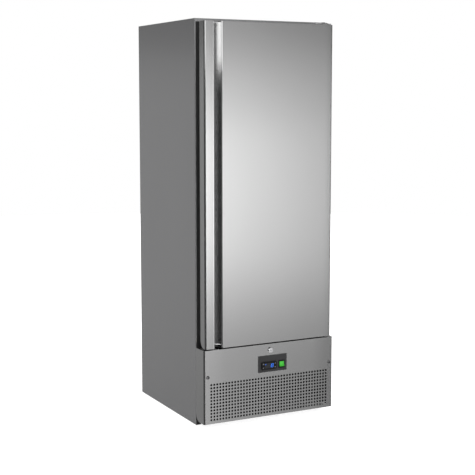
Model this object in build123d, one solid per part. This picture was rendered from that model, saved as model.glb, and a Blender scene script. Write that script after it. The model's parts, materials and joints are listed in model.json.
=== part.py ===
from build123d import *
import math
import os

# Commercial upright freezer: a foamed steel cabinet with one door hung on the right, refrigerated
# shelves inside, and the cooling machine behind a perforated panel at the bottom.
# Sizes are in millimetres. +Z is up and the front faces -Y. The origin is on the floor, at the
# middle of the box that bounds the freezer.

# Cabinet
overall_width = 680.0
overall_height = 1850.0
carcass_depth = 650.0
sheet = 1.0
floor_gap = 5.0
front_fold = 25.0
rear_fold = 20.0
back_wall = 60.0
floor_wall = 60.5
frame_thickness = 2.0
liner_wall = 1.5
liner_corner = 18.0

# Base panel, with its grille
base_panel_reach = 85.0
base_panel_bottom = 26.5
base_panel_height = 341.0
panel_bend = 7.0
return_corner = 35.0
panel_lip = 18.0
hole_diameter = 10.0
hole_pitch_x = 15.2
hole_pitch_z = 14.8
grille_side_margin = 36.0
grille_bottom_margin = 18.9
grille_height = 164.0
panel_screw_height = 244.0
panel_screw_inset = 19.0
bracket_width = 24.0
bracket_sheet = 1.5

# Door
door_inset = 9.5
door_sill_gap = 4.5
door_head_gap = 15.0
door_setback = 5.7
door_skin_depth = 51.0
door_bend = 8.0
lip_width = 47.5
lip_edge = 3.0
grip_depth = 42.0
grip_floor = 13.5
grip_mouth = 38.5
grip_undercut = 3.5
grip_corner = 4.0
grip_bend = 6.0
door_foot_corner = 38.0
door_foot_relief = 12.0
cap_thickness = 12.0
door_liner_wall = 2.0
skirt_depth = 38.0
skirt_wall = 1.5
seal_step = 10.0
seal_step_edge = 2.0
plug_reach = 14.0
plug_margin = 18.0
plug_corner = 12.0

# Door seal
seal_inset = 33.5
seal_width = 14.0
seal_land = 3.0
seal_neck = 7.0
seal_foot = 5.0
seal_head = 8.0

# Hinges
hinge_inset = 32.5
hinge_out = 45.0
pin_radius = 6.0
pin_end_gap = 4.0
bush_radius = 11.0
bush_length = 28.0
hinge_plate = 4.0
hinge_plate_inset = 14.0
hinge_plate_corner = 6.0
top_plate_width = 88.0
top_plate_lift = 1.5
top_plate_setback = 5.0
hinge_flange_height = 48.0
hinge_flange_width = 24.0
upper_screw_drop = 14.0
lower_screw_drop = 38.0
pin_head_height = 6.5
pin_head_radius = 9.0
pin_shoulder_radius = 9.0
retaining_tab = 3.0
retaining_reach = 24.0
retaining_half_width = 6.0
retaining_screw_offset = 18.0
retaining_screw_radius = 3.5
retaining_screw_height = 2.0
stop_stud_offset = 42.0
stop_stud_radius = 4.5
stop_stud_height = 5.0
lower_plate_reach = 16.0
lower_plate_width = 52.0

# Control plate, thermostat and switch
control_width = 151.0
control_height = 78.0
control_thickness = 1.5
control_x = 12.0
control_z = 275.0
thermostat_width = 80.0
thermostat_height = 36.0
thermostat_reach = 4.0
thermostat_corner = 5.0
thermostat_shift = -20.2
thermostat_drop = 9.0
housing_width = 70.5
housing_height = 28.5
housing_depth = 55.0
display_width = 47.0
display_height = 24.0
display_thickness = 1.8
display_shift = 1.7
key_size = 7.0
key_thickness = 3.0
key_stand = 0.5
key_travel = 0.5
key_corner = 1.0
left_key_shift = -30.4
right_key_shift = 32.0
key_spread = 18.0
switch_width = 32.0
switch_height = 36.0
switch_reach = 2.0
switch_corner = 2.0
switch_shift = 47.9
switch_drop = 8.3
switch_body_width = 28.0
switch_body_height = 31.0
switch_body_depth = 26.0
switch_pocket_width = 24.0
switch_pocket_height = 27.0
switch_pocket_depth = 12.0
rocker_width = 23.0
rocker_height = 23.6
rocker_stand = 3.0
rocker_dish = 1.6
rocker_depth = 11.0
rocker_pivot_depth = 3.0
rocker_tilt = 7.0
trunnion_radius = 1.5
trunnion_length = 1.2

# Lock
lock_height = 338.6
lock_reach = 8.0
lock_collar_radius = 12.0
lock_collar_edge = 1.5
lock_barrel_radius = 9.0
lock_barrel_length = 25.0
lock_plug_radius = 6.0
lock_plug_inset = 0.5
lock_nut_radius = 14.0
lock_nut_thickness = 4.0
key_slot_width = 7.0
key_slot_height = 2.0
key_slot_depth = 9.0
cam_reach = 40.0
cam_width = 12.0
cam_thickness = 2.5
cam_stem_radius = 4.0
cam_stem_end = 1.5
cam_clearance = 1.5

# Shelves
shelf_count = 6
shelf_tube_radius = 4.0
shelf_runs = 10
shelf_run_pitch = 54.0
shelf_front_gap = 60.0
shelf_back_gap = 46.0
shelf_bend = 26.0
shelf_wire_radius = 2.0
shelf_wire_count = 16
shelf_wire_margin = 32.0
weld_sink = 0.6
shelf_side_gap = 8.0
rail_width = 16.0
rail_height = 9.0
rail_back = 4.0
rail_lip = 10.0
rail_length = 440.0
tail_length = 10.0
link_reach = 16.0
link_bend = 11.0
feed_offset = 24.0
line_drop = 24.0

# Probe and drain
probe_radius = 3.0
probe_length = 60.0
probe_clip_size = 16.0
probe_clip_reach = 12.0
probe_drop = 90.0
probe_depth = 380.0
drain_radius = 11.0
drain_wall = 2.0
drain_rim = 17.0
drain_rim_thickness = 1.5
drain_x = -200.0
drain_back = 130.0
drain_end_gap = 12.0

# Base frame, feet and rollers
tray_height = 44.0
tray_sheet = 2.0
tray_fold = 25.0
boss_radius = 11.0
boss_depth = 12.0
foot_inset = 42.0
foot_setback = 46.0
foot_radius = 21.0
foot_pad_height = 10.0
foot_pad_edge = 3.0
foot_stem_radius = 5.0
foot_stem_length = 62.0
foot_nut_height = 6.0
foot_nut_radius = 9.5
roller_radius = 20.0
roller_width = 22.0
roller_edge = 2.0
roller_inset = 56.0
roller_setback = 62.0
axle_radius = 4.0
axle_head = 2.0
axle_head_radius = 6.0
fork_sheet = 2.0
fork_gap = 1.2
fork_length = 40.0
fork_cheek = 24.0
fork_below_axle = 9.0

# Cooling machine
condenser_left = 50.0
condenser_right = 235.0
condenser_setback = 16.0
condenser_depth = 44.0
condenser_passes = 8
condenser_pitch = 34.0
condenser_bottom = 80.0
condenser_bend = 15.0
condenser_tube_radius = 4.75
condenser_overhang = 20.0
condenser_tail = 20.0
fin_thickness = 0.5
fin_pitch = 8.0
fin_margin = 18.0
fin_wall_gap = 4.0
shroud_sheet = 1.2
shroud_depth = 74.0
shroud_top_gap = 20.0
fan_hole_radius = 125.0
fan_radius = 120.0
fan_blade_count = 5
fan_blade_root = 36.0
fan_blade_chord = 62.0
fan_blade_thickness = 2.5
fan_blade_pitch = 28.0
fan_hub_radius = 30.0
fan_hub_length = 30.0
fan_hub_inset = 6.0
fan_shaft_radius = 4.0
fan_shaft_length = 42.0
motor_radius = 42.0
motor_length = 60.0
motor_edge = 4.0
motor_gap = 22.0
motor_arm_reach = 138.0
motor_arm_width = 12.0
motor_arm_thickness = 2.5
compressor_right = 180.0
compressor_back = 180.0
compressor_radius = 82.0
compressor_height = 172.0
compressor_dome = 40.0
compressor_sump = 20.0
compressor_seam = 4.0
compressor_seam_height = 7.0
compressor_lift = 12.0
compressor_foot_x = 105.0
compressor_foot_y = 75.0
compressor_foot_sheet = 3.0
compressor_foot_corner = 10.0
mount_inset = 10.0
mount_radius = 9.5
mount_neck_radius = 7.5
mount_cap_height = 3.0
mount_bolt_radius = 4.0
mount_bolt_head_radius = 6.5
mount_bolt_head_height = 5.0
mount_bolt_end = 4.0
stub_length = 24.0
stub_spread = 26.5
discharge_height = 160.0
suction_height = 200.0
terminal_width = 70.0
terminal_height = 60.0
terminal_depth = 26.0
terminal_bottom = 95.0
drier_radius = 11.0
drier_length = 100.0
drier_neck = 12.0
drier_neck_radius = 5.0
drier_x = 170.0
drier_setback = 158.0
drier_bottom = 112.0
line_radius = 4.0
capillary_radius = 1.5
line_bend = 15.0
capillary_bend = 8.0
discharge_x = 30.0
discharge_cross_x = 155.0
discharge_cross_y = -20.0
discharge_top = 280.0
suction_x = 20.0
suction_top = 310.0
capillary_x = -20.0
capillary_top = 326.0
capillary_offset = 20.0
tray_box_width = 220.0
tray_box_depth = 270.0
tray_box_height = 70.0
tray_box_wall = 2.0
tray_box_inset = 20.0
tray_box_back_gap = 40.0
tray_box_corner = 18.0

# Rear cover and cord gland
cover_inset = 6.0
cover_bottom = 50.0
cover_top_gap = 4.0
cover_side_gap = 2.0
cover_lap = 16.0
cover_screw_pitch = 290.0
louvre_columns = 3
louvre_rows = 8
louvre_width = 130.0
louvre_height = 7.0
louvre_pitch_x = 180.0
louvre_pitch_z = 22.0
gland_radius = 9.8
gland_flange_radius = 13.0
gland_bore_radius = 4.5
gland_flange = 3.0
gland_length = 18.0
gland_nut_radius = 14.0
gland_nut_length = 5.0
gland_x = 250.0
gland_height = 90.0

# Screws
screw_radius = 2.4
screw_head_radius = 4.3
screw_head_height = 2.0
screw_length = 14.0
panel_screw_radius = 3.0
panel_screw_head_radius = 6.5
panel_screw_head_height = 3.0
panel_screw_length = 12.0

# Clearances
running_fit = 0.05
loose_fit = 0.2
hole_fit = 0.3
seal_fit = 0.3

# Positions that follow from the sizes above
half_width = overall_width / 2
inner_half = half_width - sheet
panel_y = lock_reach - (carcass_depth + base_panel_reach + lock_reach) / 2
face_y = panel_y + base_panel_reach
back_y = face_y + carcass_depth
panel_top = base_panel_bottom + base_panel_height
return_end = face_y - loose_fit
door_left = -half_width + door_inset
door_right = half_width - door_inset
door_front = panel_y + door_setback
door_rear = door_front + door_skin_depth
door_bottom = panel_top + door_sill_gap
door_top = overall_height - door_head_gap
hinge_x = door_right - hinge_inset
hinge_y = face_y - hinge_out
hinge_right = half_width - hinge_plate_inset
hinge_screw_x = hinge_right - screw_head_radius - sheet
top_plate_z = door_top + top_plate_lift
lower_plate_z = panel_top - sheet - loose_fit - hinge_plate
seal_outer_x = door_right - seal_inset
seal_border = seal_inset + seal_width + seal_land
opening_x = door_right - seal_border
opening_bottom = door_bottom + seal_border
opening_top = door_top - seal_border
ceiling_z = opening_bottom - floor_wall
liner_back = back_y - back_wall
frame_edge = half_width - front_fold
frame_bottom = ceiling_z + front_fold
frame_top = overall_height - front_fold
control_face = panel_y - control_thickness
thermostat_x = control_x + thermostat_shift
thermostat_z = control_z - thermostat_drop
thermostat_front = control_face - thermostat_reach
switch_x = control_x + switch_shift
switch_z = control_z - switch_drop
switch_front = control_face - switch_reach
rocker_y = control_face + rocker_pivot_depth
panel_back = panel_y + sheet
bracket_x = half_width - panel_screw_inset
cam_y = panel_y + lock_barrel_length + loose_fit
shelf_pitch = (opening_top - opening_bottom) / (shelf_count + 1)
shelf_half_span = (shelf_runs - 1) * shelf_run_pitch / 2
shelf_tube_drop = shelf_tube_radius + shelf_wire_radius - weld_sink
shelf_front = face_y + shelf_front_gap
shelf_back = liner_back - shelf_back_gap
tail_y = shelf_back + tail_length
link_y = tail_y + link_reach
feed_x = -shelf_half_span - feed_offset
line_end = ceiling_z - line_drop
drain_y = back_y - drain_back
tray_top = tray_height + tray_sheet
foot_x = half_width - foot_inset
foot_y = face_y + foot_setback
roller_x = half_width - roller_inset
roller_y = back_y - roller_setback
cover_y = back_y - cover_inset
cover_half = half_width - rear_fold - cover_side_gap
cover_top = ceiling_z - sheet - cover_top_gap
condenser_y = face_y + condenser_setback + condenser_depth / 2
condenser_x0 = -half_width + condenser_left
condenser_x1 = half_width - condenser_right
condenser_top = condenser_bottom + (condenser_passes - 1) * condenser_pitch
condenser_end = condenser_x1 + condenser_tail
shroud_x0 = condenser_x0 + condenser_overhang
shroud_x1 = condenser_x1 - condenser_overhang
shroud_back = face_y + condenser_setback + shroud_depth
shroud_top = condenser_top + shroud_top_gap
fan_x = (condenser_x0 + condenser_x1) / 2
fan_z = (condenser_bottom + condenser_top) / 2
fan_front = shroud_back - fan_hub_inset
fan_back = fan_front + fan_hub_length
motor_front = fan_back + motor_gap
compressor_x = half_width - compressor_right
compressor_y = back_y - compressor_back
compressor_foot_z = tray_top + compressor_lift
compressor_plate_z = compressor_foot_z + compressor_foot_sheet
compressor_top = compressor_foot_z + compressor_height
compressor_middle = (compressor_plate_z + compressor_top) / 2
stub_end = compressor_x - compressor_radius - stub_length
drier_y = face_y + drier_setback
drier_top = drier_bottom + drier_length


def block(x, y, z):
    """A box between the lowest and highest value of each of its three ranges."""
    size = [high - low for low, high in (x, y, z)]
    centre = [(high + low) / 2 for low, high in (x, y, z)]
    return Pos(*centre) * Box(*size)


def upright_rod(x, y, z, radius):
    """A cylinder along Z between the two heights in z."""
    return Pos(x, y, (z[0] + z[1]) / 2) * Cylinder(radius, z[1] - z[0])


def deep_rod(x, y, z, radius):
    """A cylinder along Y between the two depths in y."""
    return Pos(x, (y[0] + y[1]) / 2, z) * Rot(90, 0, 0) * Cylinder(radius, y[1] - y[0])


def cross_rod(x, y, z, radius):
    """A cylinder along X between the two places in x."""
    return Pos((x[0] + x[1]) / 2, y, z) * Rot(0, 90, 0) * Cylinder(radius, x[1] - x[0])


def pushed_back(outline, x, y, z):
    """An outline of widths and heights, placed at x and z and made solid between the depths in y."""
    return extrude(Plane.XZ.offset(-y[0]) * Pos(x, z) * outline, amount=-(y[1] - y[0]))


def rounded_slab(x, y, z, corner):
    """A box whose four edges along Y are rounded."""
    outline = RectangleRounded(x[1] - x[0], z[1] - z[0], corner)
    return pushed_back(outline, (x[0] + x[1]) / 2, y, (z[0] + z[1]) / 2)


def rounded_post(x, y, z, corner):
    """A box whose four upright edges are rounded."""
    outline = RectangleRounded(x[1] - x[0], y[1] - y[0], corner)
    centre = Pos((x[0] + x[1]) / 2, (y[0] + y[1]) / 2, z[0])
    return extrude(centre * outline, amount=z[1] - z[0])


def pipe(points, radius, bend):
    """A round bar along straight runs joined by tangent arcs."""
    path = FilletPolyline(*points, radius=bend)
    section = Plane(origin=path @ 0, z_dir=path % 0) * Circle(radius)
    return sweep(section, path=path)


def about(middle, half):
    """The range that reaches equally far to both sides of a middle."""
    return (middle - half, middle + half)


def spread(count, pitch, middle=0.0):
    """Places spaced evenly about a middle."""
    return [middle + (index - (count - 1) / 2) * pitch for index in range(count)]


def near(edges, x=None, y=None, z=None):
    """The edges whose centres lie at the given values, to a tenth of a millimetre."""
    wanted = [("X", x), ("Y", y), ("Z", z)]
    return [
        edge
        for edge in edges
        if all(value is None or abs(getattr(edge.center(), axis) - value) < 0.1 for axis, value in wanted)
    ]


def group(pieces):
    """Separate solids that share one name."""
    return Compound([solid for piece in pieces for solid in piece.solids()])


def mirrored(piece):
    """The same piece on the other side of the cabinet."""
    return mirror(piece, about=Plane.YZ)


def both_sides(piece):
    """A piece and its mirror image, as separate solids."""
    return group([piece, mirrored(piece)])


def plain_side_panel():
    """The right side of the cabinet: one sheet, folded inwards along its front and its back."""
    folds = (floor_gap, overall_height - sheet)
    panel = block((inner_half, half_width), (face_y, back_y), (floor_gap, overall_height))
    panel += block((half_width - front_fold, half_width), (face_y, face_y + sheet), folds)
    panel += block((half_width - rear_fold, half_width), (back_y - sheet, back_y), folds)
    bend = near(panel.edges().filter_by(Axis.Z), x=half_width, y=face_y)
    return fillet(bend, 1.2 * sheet)


def hinge_screw_heights():
    """Where the two screws of each hinge flange sit."""
    tops = (top_plate_z + hinge_plate, lower_plate_z + hinge_plate)
    return [top - drop for top in tops for drop in (upper_screw_drop, lower_screw_drop)]


def hinge_screw_holes():
    """The holes for the hinge screws, from the flanges back through the fold and the foam."""
    reach = (face_y - hinge_plate - sheet, face_y + screw_length)
    return [deep_rod(hinge_screw_x, reach, z, screw_radius + hole_fit) for z in hinge_screw_heights()]


def side_panel_left():
    """The side of the cabinet that the door opens from."""
    return mirrored(plain_side_panel())


def side_panel_right():
    """The side of the cabinet that carries the hinges."""
    return plain_side_panel() - hinge_screw_holes()


def top_panel():
    """The sheet over the cabinet, folded down along its front."""
    under = overall_height - sheet
    plate = block((-inner_half, inner_half), (face_y, back_y), (under, overall_height))
    return plate + block((-frame_edge, frame_edge), (face_y, face_y + sheet), (frame_top, under))


def rear_panel():
    """The flat sheet behind the foamed part of the cabinet."""
    half = half_width - rear_fold
    return block((-half, half), (back_y - sheet, back_y), (ceiling_z - sheet, overall_height - sheet))


def shelf_height(index):
    """The height of a shelf's wires, counted from the lowest shelf."""
    return opening_bottom + (index + 1) * shelf_pitch


def line_holes():
    """The holes that the two refrigerant lines and the drain take down out of the cold space."""
    z = (ceiling_z - 2 * sheet, opening_bottom + liner_corner)
    holes = [upright_rod(x, link_y, z, shelf_tube_radius + hole_fit) for x in (feed_x, -shelf_half_span)]
    return holes + [upright_rod(drain_x, drain_y, z, drain_radius + hole_fit)]


def cover_screw_places():
    """Where the rear cover is screwed on, as pairs of x and z."""
    rows = (cover_bottom + cover_lap / 2, cover_top - cover_lap / 2)
    return [(x, z) for x in spread(3, cover_screw_pitch) for z in rows]


def cover_screw_holes():
    """The screw holes of the rear cover and of the folds behind it."""
    reach = (cover_y - 2 * tray_sheet, cover_y + 2 * sheet)
    return [deep_rod(x, reach, z, screw_radius + hole_fit) for x, z in cover_screw_places()]


def machine_ceiling():
    """The sheet between the foam and the machine space, folded up in front and down behind."""
    under = ceiling_z - sheet
    ceiling = block((-inner_half, inner_half), (face_y + sheet, back_y - sheet), (under, ceiling_z))
    ceiling += block((-frame_edge, frame_edge), (face_y, face_y + sheet), (under, frame_bottom))
    ceiling += block((-cover_half, cover_half), (cover_y - sheet, cover_y), (under - cover_lap, under))
    return ceiling - line_holes() - cover_screw_holes()


def cold_space(y, extra):
    """The cold space grown by extra on its sides, between two depths."""
    x = (-opening_x - extra, opening_x + extra)
    return rounded_slab(x, y, (opening_bottom - extra, opening_top + extra), liner_corner + extra)


def front_frame():
    """The frame around the opening, which the door seal closes on."""
    y = (face_y, face_y + frame_thickness)
    plate = block((-frame_edge, frame_edge), y, (frame_bottom, frame_top))
    return plate - cold_space((y[0] - sheet, y[1] + sheet), 0)


def inner_liner():
    """The tub that lines the cold space, open to the front."""
    front = face_y + frame_thickness
    tub = cold_space((front, liner_back + liner_wall), liner_wall)
    return tub - cold_space((front - sheet, liner_back), 0) - line_holes()


def insulation_foam():
    """The foam boards between the casing and the tub: over it, under it, beside it and behind it."""
    tub_x = opening_x + liner_wall
    tub_z = (opening_bottom - liner_wall, opening_top + liner_wall)
    x = (-inner_half, inner_half)
    y = (face_y + sheet, back_y - sheet)
    roof = block(x, y, (tub_z[1], overall_height - sheet))
    floor = block(x, y, (ceiling_z, tub_z[0]))
    side = block((tub_x, inner_half), y, tub_z)
    back = block((-tub_x, tub_x), (liner_back + liner_wall, y[1]), tub_z)
    recess = block((-frame_edge, frame_edge), (face_y, face_y + frame_thickness), (frame_bottom, frame_top))
    cuts = [recess, *line_holes(), *hinge_screw_holes()]
    return group([board - cuts for board in (roof, floor, side, mirrored(side), back)])


def lowest_shelf():
    """The lowest shelf: one refrigerant tube laid to and fro, with wires welded across it."""
    z = shelf_height(0) - shelf_tube_drop
    route = []
    for index, x in enumerate(spread(shelf_runs, shelf_run_pitch)):
        ends = (shelf_back, shelf_front) if index % 2 == 0 else (shelf_front, shelf_back)
        route += [(x, y, z) for y in ends]
    route[0] = (route[0][0], tail_y, z)
    route[-1] = (route[-1][0], tail_y, z)
    wired = shelf_back - shelf_front - 2 * shelf_wire_margin
    rows = spread(shelf_wire_count, wired / (shelf_wire_count - 1), (shelf_front + shelf_back) / 2)
    reach = about(0, opening_x - shelf_side_gap)
    wires = [cross_rod(reach, y, shelf_height(0), shelf_wire_radius) for y in rows]
    return pipe(route, shelf_tube_radius, shelf_bend) + wires


def shelf_rails():
    """Two rails for each shelf, fixed to the side walls under the ends of its wires."""
    rails = []
    y = about((shelf_front + shelf_back) / 2, rail_length / 2)
    for index in range(shelf_count):
        seat = shelf_height(index) - shelf_wire_radius - loose_fit
        rail = block((opening_x - rail_width, opening_x), y, (seat - rail_height, seat))
        rail += block((opening_x - rail_back, opening_x), y, (seat, seat + rail_lip))
        rails.append(both_sides(rail))
    return group(rails)


def evaporator_links():
    """The bends from shelf to shelf, the feed to the top shelf and the return from the lowest."""
    levels = [shelf_height(index) - shelf_tube_drop for index in range(shelf_count)]
    links = []
    for index, (low, high) in enumerate(zip(levels, levels[1:])):
        x = shelf_half_span if index % 2 == 0 else -shelf_half_span
        route = [(x, tail_y, low), (x, link_y, low), (x, link_y, high), (x, tail_y, high)]
        links.append(pipe(route, shelf_tube_radius, link_bend))
    x, top = -shelf_half_span, levels[-1]
    feed = [(x, tail_y, top), (x, link_y, top), (feed_x, link_y, top), (feed_x, link_y, line_end)]
    back = [(x, tail_y, levels[0]), (x, link_y, levels[0]), (x, link_y, line_end)]
    return group(links + [pipe(route, shelf_tube_radius, link_bend) for route in (feed, back)])


def temperature_probe():
    """The thermostat's probe, upright in its clip on the right wall."""
    y = face_y + probe_depth
    z = opening_top - probe_drop
    x = opening_x - probe_clip_reach / 2
    half = probe_clip_size / 2
    clip = block((opening_x - probe_clip_reach, opening_x), about(y, half), about(z, half))
    clip -= upright_rod(x, y, about(z, probe_clip_size), probe_radius + running_fit)
    return group([clip, upright_rod(x, y, about(z, probe_length / 2), probe_radius)])


def drain_tube():
    """The tube that leads the defrost water from the cold space down over its tray."""
    rim_top = opening_bottom + drain_rim_thickness
    end = tray_top + tray_box_height + drain_end_gap
    tube = upright_rod(drain_x, drain_y, (end, rim_top), drain_radius)
    tube += upright_rod(drain_x, drain_y, (opening_bottom, rim_top), drain_rim)
    return tube - upright_rod(drain_x, drain_y, (end - sheet, rim_top + sheet), drain_radius - drain_wall)


def compressor_feet():
    """The four places where the compressor stands on its mounts, as pairs of x and y."""
    half_x = compressor_foot_x - mount_inset
    half_y = compressor_foot_y - mount_inset
    return [(compressor_x + i * half_x, compressor_y + j * half_y) for i in (-1, 1) for j in (-1, 1)]


def base_frame():
    """The sheet floor under the machine, with its folds and the welded bosses of the feet."""
    floor = block((-inner_half, inner_half), (face_y + sheet, back_y - sheet), (tray_height, tray_top))
    lap_z = (tray_top, cover_bottom + cover_lap)
    floor += block((-cover_half, cover_half), (cover_y - tray_sheet, cover_y), lap_z)
    fold_y = (face_y + front_fold, cover_y - tray_fold)
    fold = block((inner_half - tray_sheet, inner_half), fold_y, (tray_top, tray_top + tray_fold))
    boss = upright_rod(foot_x, foot_y, (tray_height - boss_depth, tray_height), boss_radius)
    floor += [fold, mirrored(fold), boss, mirrored(boss)]
    reach = (tray_height - 2 * boss_depth, tray_top + sheet)
    thread = upright_rod(foot_x, foot_y, reach, foot_stem_radius + running_fit)
    floor -= [thread, mirrored(thread)]
    for x, y in compressor_feet():
        floor -= upright_rod(x, y, reach, mount_bolt_radius + running_fit)
    return floor - cover_screw_holes()


def levelling_foot():
    """The right foot: a pad with its nut and threaded stem."""
    pad = upright_rod(foot_x, foot_y, (0, foot_pad_height), foot_radius)
    pad = chamfer(pad.faces().sort_by(Axis.Z)[-1].edges(), foot_pad_edge)
    nut = Pos(foot_x, foot_y, foot_pad_height) * RegularPolygon(foot_nut_radius, 6)
    stem_z = (foot_pad_height, foot_pad_height + foot_stem_length)
    return pad + extrude(nut, amount=foot_nut_height) + upright_rod(foot_x, foot_y, stem_z, foot_stem_radius)


def rear_roller():
    """The right roller."""
    wheel = cross_rod(about(roller_x, roller_width / 2), roller_y, roller_radius, roller_radius)
    wheel = chamfer(wheel.edges().filter_by(GeomType.CIRCLE), roller_edge)
    bore = axle_radius + running_fit
    return wheel - cross_rod(about(roller_x, roller_width), roller_y, roller_radius, bore)


def roller_brackets():
    """The forks of the two rollers and their riveted axles."""
    inner = roller_width / 2 + fork_gap
    outer = inner + fork_sheet
    top = (tray_height - fork_sheet, tray_height)
    fork = block(about(roller_x, outer), about(roller_y, fork_length / 2), top)
    axle = cross_rod(about(roller_x, outer + axle_head), roller_y, roller_radius, axle_radius)
    for side in (-1, 1):
        cheek = sorted((roller_x + side * inner, roller_x + side * outer))
        cheek_z = (roller_radius - fork_below_axle, tray_height)
        fork += block(cheek, about(roller_y, fork_cheek / 2), cheek_z)
        head = sorted((roller_x + side * outer, roller_x + side * (outer + axle_head)))
        axle += cross_rod(head, roller_y, roller_radius, axle_head_radius)
    fork -= cross_rod(about(roller_x, 2 * outer), roller_y, roller_radius, axle_radius + running_fit)
    return group([both_sides(fork), both_sides(axle)])


def panel_screw_hole():
    """The hole for the right screw of the base panel."""
    reach = (panel_y - sheet, panel_back + 2 * bracket_sheet)
    return deep_rod(bracket_x, reach, panel_screw_height, panel_screw_radius + hole_fit)


def panel_brackets():
    """The two folded brackets that stand off the cabinet and carry the base panel."""
    x = about(bracket_x, bracket_width / 2)
    z = about(panel_screw_height, bracket_width / 2)
    bracket = block(x, (panel_back, face_y), (z[0], z[0] + bracket_sheet))
    bracket += block(x, (panel_back, panel_back + bracket_sheet), z)
    bracket += block(x, (face_y - bracket_sheet, face_y), z)
    return both_sides(bracket - panel_screw_hole())


def panel_outline(inset):
    """The base panel seen from above, drawn in by inset, and run on past its open back."""
    half = half_width - inset
    front, back = panel_y + inset, return_end + inset
    face = make_face(Polyline((-half, back), (-half, front), (half, front), (half, back), close=True))
    return fillet(face.vertices().sort_by(Axis.Y)[:2], panel_bend - inset)


def upright(outline, z):
    """A plan outline made solid between the two heights in z."""
    return extrude(Pos(0, 0, z[0]) * outline, amount=z[1] - z[0], dir=(0, 0, 1))


def grille_places():
    """The middle of every hole of the grille, as pairs of x and z."""
    columns = int((overall_width - 2 * grille_side_margin) / hole_pitch_x + 1e-6) + 1
    rows = int(grille_height / hole_pitch_z + 1e-6) + 1
    lowest = base_panel_bottom + grille_bottom_margin
    return [(x, lowest + row * hole_pitch_z) for x in spread(columns, hole_pitch_x) for row in range(rows)]


def control_cut_outs(y):
    """The cut-outs that the thermostat's housing and the switch's body pass through."""
    housing_x = about(thermostat_x, housing_width / 2 + loose_fit)
    switch_across = about(switch_x, switch_body_width / 2 + loose_fit)
    return [
        block(housing_x, y, about(thermostat_z, housing_height / 2 + loose_fit)),
        block(switch_across, y, about(switch_z, switch_body_height / 2 + loose_fit)),
    ]


def cam_slot(z):
    """The room that the lock's cam sweeps through, between the two heights in z."""
    rise = z[0] - lock_height
    far = math.sqrt(max(cam_reach**2 - rise**2, cam_width**2)) + cam_clearance
    y = (cam_y - cam_clearance, cam_y + cam_thickness + cam_clearance)
    return block((-cam_width / 2 - cam_clearance, far), y, z)


def base_panel():
    """The folded panel in front of the machine, with its grille and its cut-outs."""
    z = (base_panel_bottom, panel_top)
    panel = upright(panel_outline(0), z)
    panel -= upright(panel_outline(sheet), (z[0] + sheet, z[1] - sheet))
    behind_lip = (panel_y + panel_lip, face_y)
    panel -= block((-inner_half, inner_half), behind_lip, (z[0] - sheet, z[0] + 2 * sheet))
    for side in (-1, 1):
        corner = near(panel.edges(), side * (half_width - sheet / 2), return_end, z[0])
        panel = fillet(corner, return_corner)
    front = (panel_y - sheet, panel_y + 2 * sheet)
    holes = Sketch() + [Pos(x, height) * Circle(hole_diameter / 2) for x, height in grille_places()]
    panel -= pushed_back(holes, 0, front, 0)
    panel -= deep_rod(0, front, lock_height, lock_barrel_radius + loose_fit)
    panel -= control_cut_outs(front)
    panel -= [panel_screw_hole(), mirrored(panel_screw_hole())]
    flange = (panel_top - 2 * sheet, panel_top + sheet)
    return panel - [upright_rod(hinge_x, hinge_y, flange, pin_shoulder_radius + hole_fit), cam_slot(flange)]


def control_plate():
    """The dark plate on the base panel, around the thermostat and the switch."""
    y = (control_face, panel_y)
    plate = block(about(control_x, control_width / 2), y, about(control_z, control_height / 2))
    return plate - control_cut_outs((y[0] - sheet, y[1] + sheet))


def key_places():
    """The four keys of the thermostat: what each is called, and its x and z."""
    columns = {"left": thermostat_x + left_key_shift, "right": thermostat_x + right_key_shift}
    rows = {"upper": thermostat_z + key_spread / 2, "lower": thermostat_z - key_spread / 2}
    return {f"{row}_{column}": (columns[column], rows[row]) for row in rows for column in columns}


def display_slab():
    """The display window, and the recess that it fills."""
    x = about(thermostat_x + display_shift, display_width / 2)
    y = (thermostat_front, thermostat_front + display_thickness)
    return block(x, y, about(thermostat_z, display_height / 2))


def thermostat_body():
    """The thermostat's front and the housing behind it."""
    x = about(thermostat_x, thermostat_width / 2)
    z = about(thermostat_z, thermostat_height / 2)
    body = rounded_slab(x, (thermostat_front, control_face), z, thermostat_corner)
    housing_y = (control_face, control_face + housing_depth)
    housing_z = about(thermostat_z, housing_height / 2)
    body += block(about(thermostat_x, housing_width / 2), housing_y, housing_z)
    half = key_size / 2 + loose_fit
    depth = key_thickness - key_stand + key_travel + loose_fit
    pocket = (thermostat_front - sheet, thermostat_front + depth)
    for key_x, key_z in key_places().values():
        body -= block(about(key_x, half), pocket, about(key_z, half))
    return body - display_slab()


def thermostat_key(x, z):
    """One key of the thermostat."""
    front = thermostat_front - key_stand
    key_x, key_z = about(x, key_size / 2), about(z, key_size / 2)
    return rounded_slab(key_x, (front, front + key_thickness), key_z, key_corner)


def switch_body():
    """The frame and the body of the mains switch."""
    frame_x, frame_z = about(switch_x, switch_width / 2), about(switch_z, switch_height / 2)
    body = rounded_slab(frame_x, (switch_front, control_face), frame_z, switch_corner)
    body_y = (control_face, control_face + switch_body_depth)
    body += block(about(switch_x, switch_body_width / 2), body_y, about(switch_z, switch_body_height / 2))
    pocket_x, pocket_z = about(switch_x, switch_pocket_width / 2), about(switch_z, switch_pocket_height / 2)
    body -= block(pocket_x, (switch_front - sheet, switch_front + switch_pocket_depth), pocket_z)
    reach = about(switch_x, rocker_width / 2 + trunnion_length + loose_fit)
    return body - cross_rod(reach, rocker_y, switch_z, trunnion_radius + running_fit)


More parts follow.
